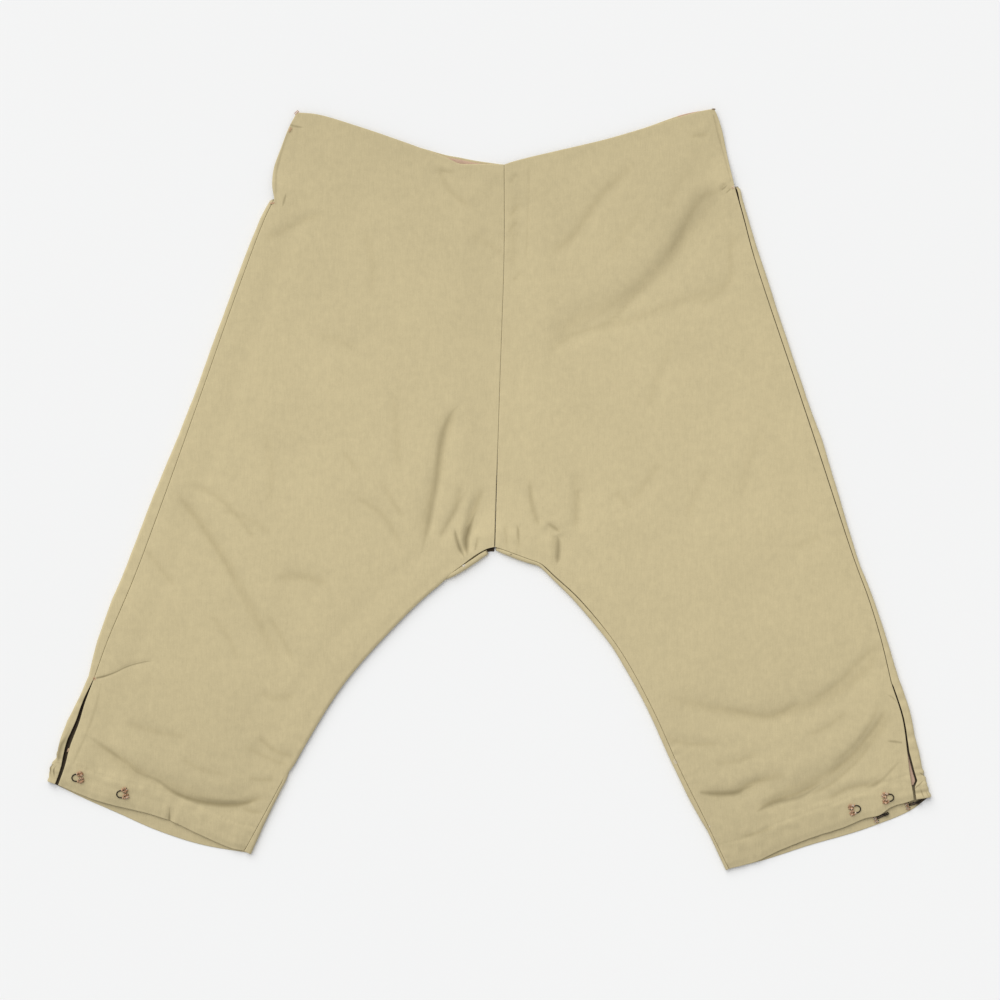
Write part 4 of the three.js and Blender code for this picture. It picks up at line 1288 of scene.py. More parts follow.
class Relief:
    """Heights of the fronts' middle surface."""

    def __init__(self, half: Half) -> None:
        """Prepares the lines that the heights are measured from.

        Args:
            half: the half of the garment.
        """
        self.half = half
        outer, inner = half.outer, half.inner
        shares = np.linspace(0, 1, 97)
        self.lines = {
            "side seam": outer.line(OPENING_END, 1.0), "inseam": inner.line(CROTCH, 1.0),
            "hem": half.hem.at(shares), "waist": half.waist.at(shares),
            "centre seam": inner.line(0.0, CROTCH), "opening": outer.line(0.0, OPENING_END),
        }
        self.paths = [(fold, SmoothCurve(fold.path).at_parameter(np.linspace(0, 1, 17)))
                      for fold in (*MAIN_FOLDS, *FINE_FOLDS)]

    @staticmethod
    def fold_height(fold: Fold, line: Array, x: Array, y: Array) -> tuple[Array, Array]:
        """Trough and ridge of one fold, and how dark the painted shade of its crease is.

        The trough is depth times e to the minus (d / width) squared, and its width is FAR_FLANK times as
        large on the far side. The ridge is the same bell, shoulder times as high, RIDGE_AT widths to one
        side. The crease's painted shade is a narrower bell, moved towards the near side, and it is darker the
        deeper and narrower the fold is. All fade along the path.

        Args:
            fold: its sizes.
            line: points of its path.
            x: places.
            y: places.

        Returns:
            The height, and the darkness of the painted shade, from 0 to 1.
        """
        near = nearest_on(line, x, y)
        dx, dy = line[-1] - line[0]
        near_side = near.left * (1.0 if LIGHT_SIDE[1] * dx - LIGHT_SIDE[0] * dy > 0 else -1.0)
        across = near.distance / fold.width
        flank = across / np.where(near_side > 0, 1.0, FAR_FLANK)
        to_ridge = near.left * np.sign(fold.shoulder) * across - RIDGE_AT
        trough = -fold.depth * np.exp(-flank**2)
        ridge = RIDGE_SHARE * abs(fold.shoulder) * fold.depth * np.exp(-to_ridge**2)
        # painted shade of the crease: how much it darkens the base colour
        usual = min(1.0, 0.25 + 0.45 * fold.depth) * min(1.2, 4.5 / fold.width)
        dark = fold.dark * usual * np.exp(-((near_side * across - 0.15) / 0.45) ** 2)
        fade = smoothstep(near.share, 0, fold.fade) * smoothstep(1 - near.share, 0, fold.fade)
        return fade * (trough + ridge), fade * dark

    def puckers(self, line: Array, near: Nearest, seed: int, reach: float, height: float) -> Array:
        """Small waves along a sewn line that die away at right angles to it.

        Args:
            line: the sewn line.
            near: where the points lie to it.
            seed: of the random waves.
            reach: distance over which they die away.
            height: of the waves.

        Returns:
            The heights.
        """
        length = np.linalg.norm(np.diff(line, axis=0), axis=1).sum()
        along = near.share * length
        swell = 0.55 + 0.45 * waves(along, seed + 1, 60, 140, 4)
        return height * swell * waves(along, seed, 8, 20) * np.exp(-near.distance / reach)

    def surface(self, x: Array, y: Array) -> tuple[Array, Array]:
        """Height of the middle of a front's wall over each point, and how dark the painted shade of its
        creases is.

        It is the rest level, plus the larger lift of the rolled seams and of the turned waist and hem,
        plus the cloth's spring and its folds, which are kept from going below nothing, plus the rise
        over hooks, plus small puckers beside the seams and ripples all over.

        Args:
            x: places.
            y: places.

        Returns:
            The heights, and the darkness of the painted crease shade, from 0 to 1.
        """
        near = {name: nearest_on(line, x, y) for name, line in self.lines.items()}
        to_seam = np.minimum(near["side seam"].distance, near["inseam"].distance)
        to_waist, to_hem = near["waist"].distance, near["hem"].distance
        to_edge = np.min([found.distance for found in near.values()], axis=0)

        seam_lift = 1 - smoothstep(to_seam, SEAM_PLATEAU, SEAM_PLATEAU + SEAM_SLOPE)
        waist_lift = 1 - smoothstep(to_waist, WAIST_PLATEAU, WAIST_PLATEAU + WAIST_SLOPE)
        hem_lift = 1 - smoothstep(to_hem, BAND_PLATEAU, BAND_PLATEAU + BAND_SLOPE)
        lift = np.maximum(seam_lift * SEAM_LIFT, np.maximum(waist_lift, hem_lift) * BAND_LIFT)
        lift = lift * (1 - HEM_DIP * (1 - smoothstep(to_hem, 0, HEM_DIP_RUN)))
        puff = PUFF * smoothstep(to_edge, 0, PUFF_SLOPE)
        fold_share = lerp(EDGE_FOLD_SHARE, 1, smoothstep(to_edge, 0, EDGE_FOLD_SLOPE))
        folds = [self.fold_height(fold, line, x, y) for fold, line in self.paths]
        main = sum(height for height, _ in folds[:len(MAIN_FOLDS)])
        fine = sum(height for height, _ in folds[len(MAIN_FOLDS):])
        # painted shade of all creases together
        dark = 1 - np.prod([1 - crease for _, crease in folds], axis=0)
        loose = puff + fold_share * MAIN_SHARE * main
        spring = (loose + np.hypot(loose, 0.6)) / 2
        hooks = sum(rise * np.exp(-((x - hx) ** 2 + (y - hy) ** 2) / width**2)
                    for hx, hy, rise, width in HOOK_RISES)

        seed = 40 if self.half.side > 0 else 70
        small = sum(self.puckers(line, near[name], seed + 3 * k, *PUCKERS[name])
                    for k, (name, line) in enumerate(self.lines.items()))
        at_hem_line = np.exp(-(((to_hem - HEM_RIPPLE_AT) / HEM_RIPPLE_WIDTH) ** 2))
        calm = smoothstep(to_edge, 0, CALM_REACH)
        ripple = calm * 0.16 * ripples(x, y, seed + 18, 42, 95)
        ripple += calm * 0.055 * ripples(x, y, seed + 19, 15, 34, 22)
        ripple += at_hem_line * HEM_RIPPLE * ripples(x, y, seed + 20, 7, 17, 20)
        creased = np.maximum(fine * lerp(0.5, 1, calm), -0.75 * (lift + spring) - 0.15)
        level = REST_LEVEL + lift + spring + creased + hooks + small + ripple
        return level + self.sewn_lines(x, y, near), dark

    def heights(self, x: Array, y: Array) -> Array:
        """Height of the middle of a front's wall over each point."""
        return self.surface(x, y)[0]

    def sewn_lines(self, x: Array, y: Array, near: dict[str, Nearest]) -> Array:
        """Shallow grooves where hems and facings are stitched down inside the cloth.

        Each groove is a bell whose depth rises and falls with the stitches.

        Args:
            x: places.
            y: places.
            near: where they lie to each line of the front.

        Returns:
            The heights, from 0 down.
        """
        slit = nearest_on(self.half.outer.line(SLIT_TOP - 0.012, 1.0), x, y)
        sewn = (  # line, distance from it, depth, length of the line
            (near["hem"], 24.5, 0.50, 300.0), (slit, 8.5, 0.20, 110.0), (near["opening"], 4.0, 0.22, 90.0),
        )
        total = np.zeros(x.shape)
        for edge, inset, depth, length in sewn:
            stitches = 0.6 + 0.4 * np.sin(2 * math.pi * edge.share * length / STITCH_LENGTH)
            total -= depth * stitches * np.exp(-(((edge.distance - inset) / GROOVE_WIDTH) ** 2))
        return total


@dataclass
class Front:
    """A front half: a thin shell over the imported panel, with every crease of its cloth."""

    half: Half
    flat: tuple[float, float]  # width and length of the cut, in metres
    area: float  # and its area, in square metres

    @property
    def node(self) -> str:
        """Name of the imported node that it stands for."""
        return f"front_{self.half.outline.name}"

    def grid(self) -> tuple[Array, Array]:
        """Middle surface: the panel between the four edges, raised by the relief.

        Where the front hides the inseam's roll, its last TUCK_REACH bends down by a quarter of a wave.

        Returns:
            The grid, and how dark the painted shade of its creases is.
        """
        u, v = spread(FRONT_COLUMN_SPANS), spread(ROW_SPANS)
        half = self.half
        plan = Panel(half.outer.at, half.front_inner, half.waist, half.hem).at(u, v)
        x, y = plan[..., 0], plan[..., 1]
        level, dark = Relief(half).surface(x, y)
        from_edge = np.linalg.norm(plan - plan[:, -1:], axis=-1) / TUCK_REACH
        bend = 1 - np.sin(math.pi / 2 * np.clip(from_edge, 0, 1))
        return np.dstack([x, y, level - TUCK_DROP * half.tuck(v)[:, None] * bend]), dark

    def build(self, material: bpy.types.Material) -> bpy.types.Object:
        """Makes the piece.

        Args:
            material: the cloth's finish.

        Returns:
            The finished piece.
        """
        grid, dark = self.grid()
        mesh = shell(grid, WALL, -self.half.side, upright=True, crease=dark)
        piece = finished(mesh, f"cloth_{self.node}", material, self.node)
        below = f"cloth_back_{self.half.outline.name}"
        return piece


# ---------- Backs ----------


@dataclass
class Back:
    """A back half: flat on the surface, rolled over the fold at the side and at the inseam."""

    half: Half
    flat: tuple[float, float]
    area: float
    strip_steps: int = 9
    roll_steps: int = 9
    flat_steps: int = 44
    near_edge: tuple[float, ...] = (0.0, 0.03, 0.08, 0.16)  # the strip's first columns, as shares
    hem_band: float = 17.0  # depth of the turned end of the strip at the hem
    band_rise: float = 0.45
    groove_depth: float = 0.50  # of the sewn line beside it
    crumple_rise: float = 0.38
    crumple_reach: float = 0.40
    deepest_crease: float = 0.55  # of the underside

    @property
    def node(self) -> str:
        """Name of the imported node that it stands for."""
        return f"back_{self.half.outline.name}"

    def _centre(self, table: Rows, v: Array) -> Array:
        """Distance from the front's edge to the centre of the roll outside it."""
        gap = read_table(table, 2, v)
        return np.maximum(read_table(table, 1, v), gap + ROLL_REACH + GAP) - ROLL_REACH

    def _outer_foot(self, v: Array) -> Array:
        """Foot of the flat wall: under the roll where there is one, else just inside the front's edge.

        Args:
            v: shares of the way.

        Returns:
            Its points.
        """
        edge, table = self.half.outer, self.half.outline.rolls
        reach = np.where(v >= OPENING_END, self._centre(table, v), -BACK_INSET)
        return edge.at(v) + self.half.outward(edge, 1, v) * reach[:, None]

    def _inner_foot(self, v: Array) -> Array:
        """Foot of the flat wall: under the inseam's roll where there is one, else at the centre seam.

        Args:
            v: shares of the way.

        Returns:
            Its points.
        """
        edge, table = self.half.inner, self.half.outline.under
        rolled = edge.at(v) + self.half.outward(edge, -1, v) * self._centre(table, v)[:, None]
        below_crotch = v > CROTCH
        return np.where(below_crotch[:, None], rolled, edge.at(v))

    def panel(self) -> Panel:
        """Finds the flat wall's plan.

        Returns:
            The panel between its two feet, the waist and the hem.
        """
        ends_of_way = np.array([0.0, 1.0])
        outer_ends, inner_ends = self._outer_foot(ends_of_way), self._inner_foot(ends_of_way)
        waist = SmoothCurve([outer_ends[0], *self.half.outline.back_waist, inner_ends[0]])
        hem = SmoothCurve([outer_ends[1], *self.half.outline.back_hem, inner_ends[1]])
        return Panel(self._outer_foot, self._inner_foot, waist, hem)

    def _rolled_edge(self, edge: Edge, table: Rows, turn: int, v: Array, seed: int) -> Array:
        """The strip on top and the round of the fold, from the free edge to the foot.

        In the plane at right angles to the edge, the strip runs straight from the gap to the centre,
        and the round is half a circle about it. Waves along the edge push both along their normals. The
        strip is crumpled at the slit's lower end, and raised over the turned hem.

        Args:
            edge: the front's edge beside the strip.
            table: widths and gaps of the strip.
            turn: 1 for the outer edge, else -1.
            v: shares of the way.
            seed: of the random waves.

        Returns:
            The grid of its middle surface.
        """
        start, outward = edge.at(v), self.half.outward(edge, turn, v)
        length = np.linalg.norm(np.diff(start, axis=0), axis=1)
        along = np.concatenate([[0], np.cumsum(length)])
        gap, centre = read_table(table, 2, v) - SEAM_CLOSE, self._centre(table, v)
        radius = ROLL_REACH - WALL / 2

        shares = np.concatenate([self.near_edge, np.linspace(0.28, 1, self.strip_steps - 3)])[:-1]
        strip_reach = lerp(gap[:, None], centre[:, None], shares[None])
        angles = np.linspace(math.pi / 2, -math.pi / 2, self.roll_steps + 1)
        round_reach = centre[:, None] + radius * np.cos(angles)[None]
        reach = np.hstack([strip_reach, round_reach])
        strip_level = np.full(len(shares), STRIP_TOP - WALL / 2)
        level = np.concatenate([strip_level, ROLL_REACH + radius * np.sin(angles)])
        level = np.broadcast_to(level, reach.shape).copy()

        lean = np.concatenate([np.zeros(len(shares)), np.cos(angles)])
        rise = np.concatenate([np.ones(len(shares)), np.maximum(np.sin(angles), 0)])
        wobble = 0.16 * waves(along, seed, 45, 110) + 0.04 * waves(along, seed + 1, 14, 24)
        outer_edge = turn > 0
        swell = (0.10 + 0.30 * smoothstep(v, 0.84, 0.88)) if outer_edge else 0.12
        pucker = swell * waves(along, seed + 2, 10, 20)
        reach += wobble[:, None] * lean[None]
        level += np.minimum(pucker, 0.35)[:, None] * rise[None]
        if outer_edge:
            crumple = smoothstep(v, 0.945, 0.972) * waves(along, seed + 3, 5, 11)
            level += self.crumple_rise * np.minimum(crumple, 1.2)[:, None] * rise[None]
            reach += self.crumple_reach * crumple[:, None] * lean[None]

        hidden = np.zeros(len(v)) if outer_edge else self.half.tuck(v)
        reach -= (TUCK_REACH - 0.4) * hidden[:, None]
        start_share = OPENING_END if outer_edge else self.half.outline.roll_start
        settle = lerp(0.72, 1.0, smoothstep(v, start_share, start_share + 0.014))[:, None]
        settle *= lerp(1.0, 0.62, hidden)[:, None]
        level = WALL / 2 + (level - WALL / 2) * settle
        if outer_edge:
            past_band = along - along[-1] + self.hem_band
            groove = self.groove_depth * np.exp(-(((past_band + 2.5) / GROOVE_WIDTH) ** 2))
            level += (self.band_rise * smoothstep(past_band, -1.5, 0.5) - groove)[:, None] * rise[None]
        plan = start[:, None] + outward[:, None] * reach[..., None]
        return np.dstack([plan, level])

    def _underside(self, x: Array, y: Array, to_foot: Array) -> Array:
        """Lift of the flat wall: the hollows of its creases, away from its edges.

        Args:
            x: places.
            y: places.
            to_foot: how far they are from the wall's edges, as a share of its size.

        Returns:
            The heights, from 0 up.
        """
        lift = np.zeros(x.shape)
        for fold in UNDERSIDE_FOLDS:
            line = SmoothCurve(fold.path).at_parameter(np.linspace(0, 1, 17))
            lift -= Relief.fold_height(fold, line, x, y)[0]
        return np.clip(lift, 0, self.deepest_crease) * smoothstep(to_foot, 0.04, 0.10)

    def grid(self) -> tuple[Array, Array, Array]:
        """Middle surface of the back.

        Returns:
            The grid, which of its cells are cloth, and how much painted shadow its inside takes where the
            slits gape and at the crotch.
        """
        half, outline = self.half, self.half.outline
        v = spread(ROW_SPANS)
        outer_rolled, inner_rolled = v >= OPENING_END, v >= outline.roll_start
        u = spread(((0.0005, 1), (0.004, 3), (0.996, self.flat_steps), (0.9995, 3), (1.0, 1)))
        plan = self.panel().at(u, v)
        seed = 110 if half.side > 0 else 150
        outer_roll = self._rolled_edge(half.outer, outline.rolls, 1, v, seed)
        inner_roll = self._rolled_edge(half.inner, outline.under, -1, v, seed + 20)[:, ::-1]
        across = np.minimum(u, 1 - u)[None] + 0 * plan[..., 0]
        down = np.minimum(v, 1 - v)[:, None] + 0 * plan[..., 0]
        lift = self._underside(plan[..., 0], plan[..., 1], np.minimum(across, down))
        flat = np.dstack([plan, WALL / 2 + lift])
        grid = np.concatenate([outer_roll[:, :-1], flat, inner_roll[:, 1:]], 1)

        cells = np.arange(grid.shape[1] - 1)[None] + 0 * np.arange(len(v) - 1)[:, None]
        roll_cells = outer_roll.shape[1] - 1
        at_outer, at_inner = cells < roll_cells, cells >= roll_cells + len(u) - 1
        keep = np.where(at_outer, outer_rolled[:-1, None], np.where(at_inner, inner_rolled[:-1, None], True))
        after = grid.shape[1] - roll_cells - len(u)
        reach = np.concatenate([np.zeros(roll_cells), u, np.ones(after)])[None]
        # painted shadow: near black on the inside where the slits gape wide, and in the wedge at the crotch,
        # standing in for deep shadow
        gaping = smoothstep(read_table(outline.rolls, 2, v), 0.35, 0.9) * outer_rolled
        in_slit = gaping[:, None] * (1 - smoothstep(reach, 0.035, 0.09))
        at_crotch = (v > CROTCH - 0.003) & (v < outline.roll_start - 0.0005)
        shade = np.maximum(in_slit, at_crotch[:, None] * smoothstep(reach, 0.93, 0.98))
        return grid, keep, shade

    def build(self, material: bpy.types.Material) -> bpy.types.Object:
        """Makes the piece.

        Args:
            material: the cloth's finish.

        Returns:
            The finished piece.
        """
        grid, keep, shade = self.grid()
        mesh = shell(grid, WALL, -self.half.side, keep=keep, shade=shade)
        piece = finished(mesh, f"cloth_{self.node}", material, self.node)
        return piece


# ---------- Facings ----------


@dataclass
class Facing:
    """A strip of the pink facing, where it shows."""

    node: str
    flat: tuple[float, float]
    wall: float = 0.6
    level: float = 2.0  # of its middle over the surface

    def build(self, plan: Array, mirror: int, material: bpy.types.Material, below: str) -> bpy.types.Object:
        """Makes the piece.

        Args:
            plan: x and y of its rows and columns.
            mirror: 1 where columns across rows point up, else -1.
            material: the lining's finish.
            below: name of the piece that it lies on; not used.

        Returns:
            The finished piece.
        """
        x, y = plan[..., 0], plan[..., 1]
        mesh = shell(np.dstack([x, y, self.level + 0.12 * ripples(x, y, 7, 9, 22)]), self.wall, mirror)
        piece = finished(mesh, f"cloth_{self.node}", material, self.node)
        return piece


@dataclass
class Facings:
    """The pink facings: behind the dip of the waist, at the top corner and in the left slit."""

    backs: dict[Side, Back]
    centre: tuple[float, float, float, float] = (0.60, 0.992, 0.003, 0.022)  # u and v, from and to
    corner: tuple[float, float, float, float] = (0.02, 0.17, 0.002, 0.015)
    corner_peek: float = 1.2  # how far the corner's strip stands out over the waist
    slit: tuple[float, float] = (0.905, 0.982)
    slit_under: float = 7.0  # how far it lies under the front's edge
    slit_free: float = 1.7  # how far it ends from the strip of the back

    def _waist_plan(self, side: Side, place: tuple[float, float, float, float]) -> Array:
        """Rows and columns of a strip along the back's waist.

        Args:
            side: of the back.
            place: where it starts and ends across, and then down, as shares.

        Returns:
            The points.
        """
        u = lerp(place[0], place[1], spread(((0.005, 2), (0.995, 40), (1.0, 2))))
        v = lerp(place[2], place[3], spread(((0.04, 3), (0.96, 8), (1.0, 3))))
        return self.backs[side].panel().at(u, v) + (0, self.corner_peek if side is Side.LEFT else 0)

    def _slit_plan(self) -> Array:
        """Rows and columns of the strip in the slit, from under the front to the strip of the back.

        Returns:
            The points.
        """
        half = self.backs[Side.LEFT].half
        v = lerp(*self.slit, spread(((0.01, 2), (0.99, 40), (1.0, 2))))
        reach = read_table(half.outline.rolls, 2, v) - self.slit_free
        u = spread(((0.04, 3), (0.96, 8), (1.0, 3)))
        across = lerp(-self.slit_under, reach[:, None], u[None])
        return half.outer.at(v)[:, None] + half.outward(half.outer, 1, v)[:, None] * across[..., None]

    def build(self, material: bpy.types.Material) -> list[bpy.types.Object]:
        """Makes the three strips.

        Args:
            material: the lining's finish.

        Returns:
            The finished pieces.
        """
        right, left = "cloth_back_right", "cloth_back_left"
        return [
            Facing("facing_waist_centre", (0.084, 0.0135)).build(
                self._waist_plan(Side.RIGHT, self.centre), 1, material, right),
            Facing("facing_waist_corner", (0.034, 0.0100)).build(
                self._waist_plan(Side.LEFT, self.corner), -1, material, left),
            Facing("facing_slit_left", (0.059, 0.0100)).build(self._slit_plan(), 1, material, left),
        ]


# ---------- Hooks and eyes ----------

STITCH_SINK = 0.12  # how far a stitch starts inside the cloth
STITCH_JITTER = 0.18  # how unevenly the stitches of a bar tack end
STITCH_ARCH = 1.9  # rise of a stitch over an eye's wire
HOOK_TONES = (0.1, 0.22, 0.35, 0.42, 0.5)


@dataclass(frozen=True)
class Place:
    """Where a small part lies, and which way it points."""

    name: str
    x: float
    y: float
    heading: float  # in degrees from +X

    def put(self, points: Array) -> Array:
        """Turns and moves points from the part's own frame.

        Args:
            points: in that frame.

        Returns:
            The points where the part lies.
        """
        turn = math.radians(self.heading)
        x = points[..., 0] * math.cos(turn) - points[..., 1] * math.sin(turn) + self.x
        y = points[..., 0] * math.sin(turn) + points[..., 1] * math.cos(turn) + self.y
        return np.stack([x, y, points[..., 2]], -1)


def smooth_path(points: Rows, count: int) -> Array:
    """A smooth path through points in space: the curve in the plan, and the height along with it.

    Args:
        points: rows of x, y and z.
        count: how many points the path gets.

    Returns:
        The points of the path.
    """
    points = np.asarray(points, float)
    plan = SmoothCurve(points[:, :2])
    parameters = np.linspace(0, 1, count)
    height = np.interp(parameters, np.linspace(0, 1, len(points)), points[:, 2])
    return np.column_stack([plan.at_parameter(parameters), height])


def ring(x: float, y: float, radius: float, end: float, turn: float = 1.5 * math.pi, steps: int = 9) -> Array:
    """Points round a ring, ending at the angle where the wire leaves it."""
    angles = np.linspace(end - turn, end, steps)
    return np.column_stack([x + radius * np.cos(angles), y + radius * np.sin(angles), np.zeros(steps)])


def mirrored(points: Array) -> Array:
    """The points on the other side of the part's own X axis, run backwards."""
    return (points * (1, -1, 1))[::-1]


@dataclass
class Stitches:
    """Stitches of sewing thread, gathered into one mesh."""

    seed: int
    thickness: float = 0.42
    meshes: list[Mesh] = field(default_factory=list)

    def __post_init__(self) -> None:
        """Starts the seeded randomness."""
        self.random = np.random.default_rng(self.seed)

    def arch(self, start: Array, end: Array, rise: float, tone: float,
             thickness: float | None = None) -> None:
        """Adds one stitch: half a sine wave from start to end, which starts a little inside the cloth.

        Args:
            start: its first end, on the cloth.
            end: its other end.
            rise: how high it goes.
            tone: its colour, from 0 for cream to 1 for dark brown.
            thickness: of the thread, where it isn't the usual one.
        """
        t = np.linspace(0, 1, 9)
        path = lerp(np.asarray(start, float)[None], np.asarray(end, float)[None], t[:, None])
        path[:, 2] += rise * np.sin(math.pi * t) - STITCH_SINK
        along = path[-1] - path[0]
        side = (along[1], -along[0], 0.35)
        self.meshes.append(tube(path, (thickness or self.thickness) / 2, 5, tone, side))

    def bundle(self, place: Place, level: float, length: float, width: float, count: int,
               tones: tuple[float, float], rise: float = 0.35) -> None:
        """Adds stitches side by side, along the place's heading.

        Args:
            place: their middle.
            level: of their ends.
            length: of the stitches.
            width: of the bundle.
            count: of the stitches.
            tones: between which their colours lie.
            rise: of the stitches.
        """
        for offset in np.linspace(-width / 2, width / 2, count):
            jitter = self.random.normal(0, STITCH_JITTER, 4)
            ends = np.array([[-length / 2 + jitter[0], offset + jitter[1], level],
                             [length / 2 + jitter[2], offset + jitter[3], level]])
            start, end = place.put(ends)
            self.arch(start, end, rise, self.random.uniform(*tones))

    def build(self, name: str, material: bpy.types.Material) -> bpy.types.Object:
        """Makes the piece from all stitches so far.

        Args:
            name: the piece's name.
            material: the thread's finish.

        Returns:
            The finished piece, which replaces nothing.
        """
        piece = join(self.meshes).build(name)
        piece.data.materials.append(material)
        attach(piece, BODY)
        return piece


@dataclass
class Eye:
    """A wire eye: a loop and two rings, which thread holds to the front."""

    place: Place
    relief: Relief
    wire: float = 1.1
    ring_at: tuple[float, float] = (2.9, 3.0)
    ring_radius: float = 1.75
    loop: Rows = ((0.4, 3.3, 0), (-2.0, 3.4, 0), (-4.5, 2.3, 0), (-5.5, 0, 0))
    whips: int = 13  # stitches over each ring
    thread: float = 0.6  # thickness of the thread
    tones: tuple[float, ...] = (0.2, 0.32, 0.4, 0.45, 0.5, 0.62)

    def _flipped(self, points: Array) -> Array:
        """Turns the loop from -X to +X."""
        return points * (-1, -1, 1)

    def _level(self, points: Array) -> Array:
        """Top of the cloth under points."""
        return self.relief.heights(points[:, 0], points[:, 1]) + WALL / 2

    def build(self, material: bpy.types.Material, thread: Stitches) -> bpy.types.Object:
        """Makes the wire and adds the stitches that hold it.

        Args:
            material: the wire's finish.
            thread: takes the stitches.

        Returns:
            The finished wire.
        """
        half = np.vstack([ring(*self.ring_at, self.ring_radius, math.pi / 2), self.loop[:-1]])
        rows = np.vstack([half, self.loop[-1:], mirrored(half)])
        path = self.place.put(self._flipped(smooth_path(rows, 150)))
        ground = self._level(path)
        path[:, 2] = ground.mean() * 0.4 + ground * 0.6 + self.wire / 2 + 0.12
        self._sew(thread)
        mesh = tube(path, self.wire / 2, 10)
        return finished(mesh, f"wire_{self.place.name}", material, self.place.name)

    def _sew(self, thread: Stitches) -> None:
        """Whips each ring to the cloth, and crosses the foot of the loop a few times.

        Args:
            thread: takes the stitches.
        """
        random = thread.random
        centre = np.array(self.ring_at)
        for side in (1, -1):
            angles = np.linspace(-0.8 * math.pi, 0.75 * math.pi, self.whips)
            angles += random.normal(0, 0.1, self.whips)
            for angle in angles:
                out = np.array([math.cos(angle), math.sin(angle)])
                inner = self.ring_radius - 1.1 + random.uniform(-0.2, 0.2)
                outer = self.ring_radius + random.uniform(0.9, 1.6)
                ends = np.array([[*(centre + out * inner), 0.0], [*(centre + out * outer), 0.0]])
                self._stitch(thread, ends * (1, side, 1), random.choice(self.tones))
            for foot in (0.9, 0.2, -0.5):
                ends = np.array([[foot, 2.4, 0.0], [foot + random.uniform(-0.5, 0.5), 4.9, 0.0]])
                self._stitch(thread, ends * (1, side, 1), random.choice(self.tones))

    def _stitch(self, thread: Stitches, ends: Array, tone: float) -> None:
        """Adds one stitch whose ends lie on the cloth.

        Args:
            thread: takes the stitch.
            ends: its two ends, in the eye's own frame.
            tone: its colour.
        """
        ends = self.place.put(self._flipped(ends))
        ends[:, 2] = self._level(ends)
        thread.arch(ends[0], ends[1], STITCH_ARCH, tone, self.thread)


@dataclass
class Hook:
    """A wire hook on the inside of a back: two rings and two strands that bend back at the tip."""

    place: Place
    wire: float = 1.0
    level: float = CLOTH + GAP + 0.5  # of its lower strands over the surface
    ring_at: tuple[float, float] = (-2.2, 2.2)
    ring_radius: float = 1.5
    shank: float = 0.7
    length: float = 11.0
    bill: float = 4.5
    rise: float = 1.6

    def build(self, material: bpy.types.Material, thread: Stitches) -> bpy.types.Object:
        """Makes the wire and adds its thread.

        Args:
            material: the wire's finish.
            thread: takes the stitches.

        Returns:
            The finished wire.
        """
        shank, tip, rise = self.shank, self.length, self.rise
        half = np.vstack([
            ring(*self.ring_at, self.ring_radius, 1.5 * math.pi),
            [(1.5, shank, 0), (tip - 1.5, shank, 0), (tip - 0.6, shank, 0.15 * rise),
             (tip - 0.2, shank, rise / 2), (tip - 0.6, shank, 0.85 * rise), (tip - 1.5, shank, rise),
             (tip - self.bill, shank, rise)],
        ])
        rows = np.vstack([half, [(tip - self.bill - 0.8, 0, rise)], mirrored(half)])
        path = self.place.put(smooth_path(rows, 190) + (0, 0, self.level))
        turn = math.radians(self.place.heading)
        across = (-math.sin(turn), math.cos(turn), 1.0)
        self._sew(thread)
        mesh = tube(path, self.wire / 2, 10, reference=across)
        return finished(mesh, f"wire_{self.place.name}", material, self.place.name)

    def _sew(self, thread: Stitches) -> None:
        """Whips the rings with pale thread and the shank with dark thread.

        Args:
            thread: takes the stitches.
        """
        random = thread.random
        centre = np.array(self.ring_at)
        for side in (1, -1):
            for angle in np.linspace(0.25 * math.pi, 1.6 * math.pi, 8):
                out = np.array([math.cos(angle), math.sin(angle)])
                ends = np.array([[*(centre + out * 0.6), 0.0], [*(centre + out * 2.7), 0.0]])
                ends = self.place.put(ends * (1, side, 1) + (0, 0, CLOTH))
                thread.arch(ends[0], ends[1], 1.75, random.choice(HOOK_TONES), 0.5)
        for foot in np.arange(0.4, 5.6, 0.62):
            ends = self.place.put(np.array([[foot, -1.35, CLOTH], [foot + 0.7, 1.35, CLOTH]]))
            thread.arch(ends[0], ends[1], 1.6, random.uniform(0.8, 1.0), 0.34)


EYES = {
    Side.RIGHT: (Place("eye_right_outer", -391, -274, 188), Place("eye_right_inner", -348.5, -289.5, 190)),
    Side.LEFT: (Place("eye_left_inner", 347, -304.5, 12), Place("eye_left_outer", 378.5, -293.5, 8)),
}
HOOKS = (
    Place("hook_right_outer", -391, -262, 195), Place("hook_right_inner", -352, -281, 195),
    Place("hook_left_inner", 369.3, -312.4, 23), Place("hook_left_outer", 399.8, -300.2, 17),
)


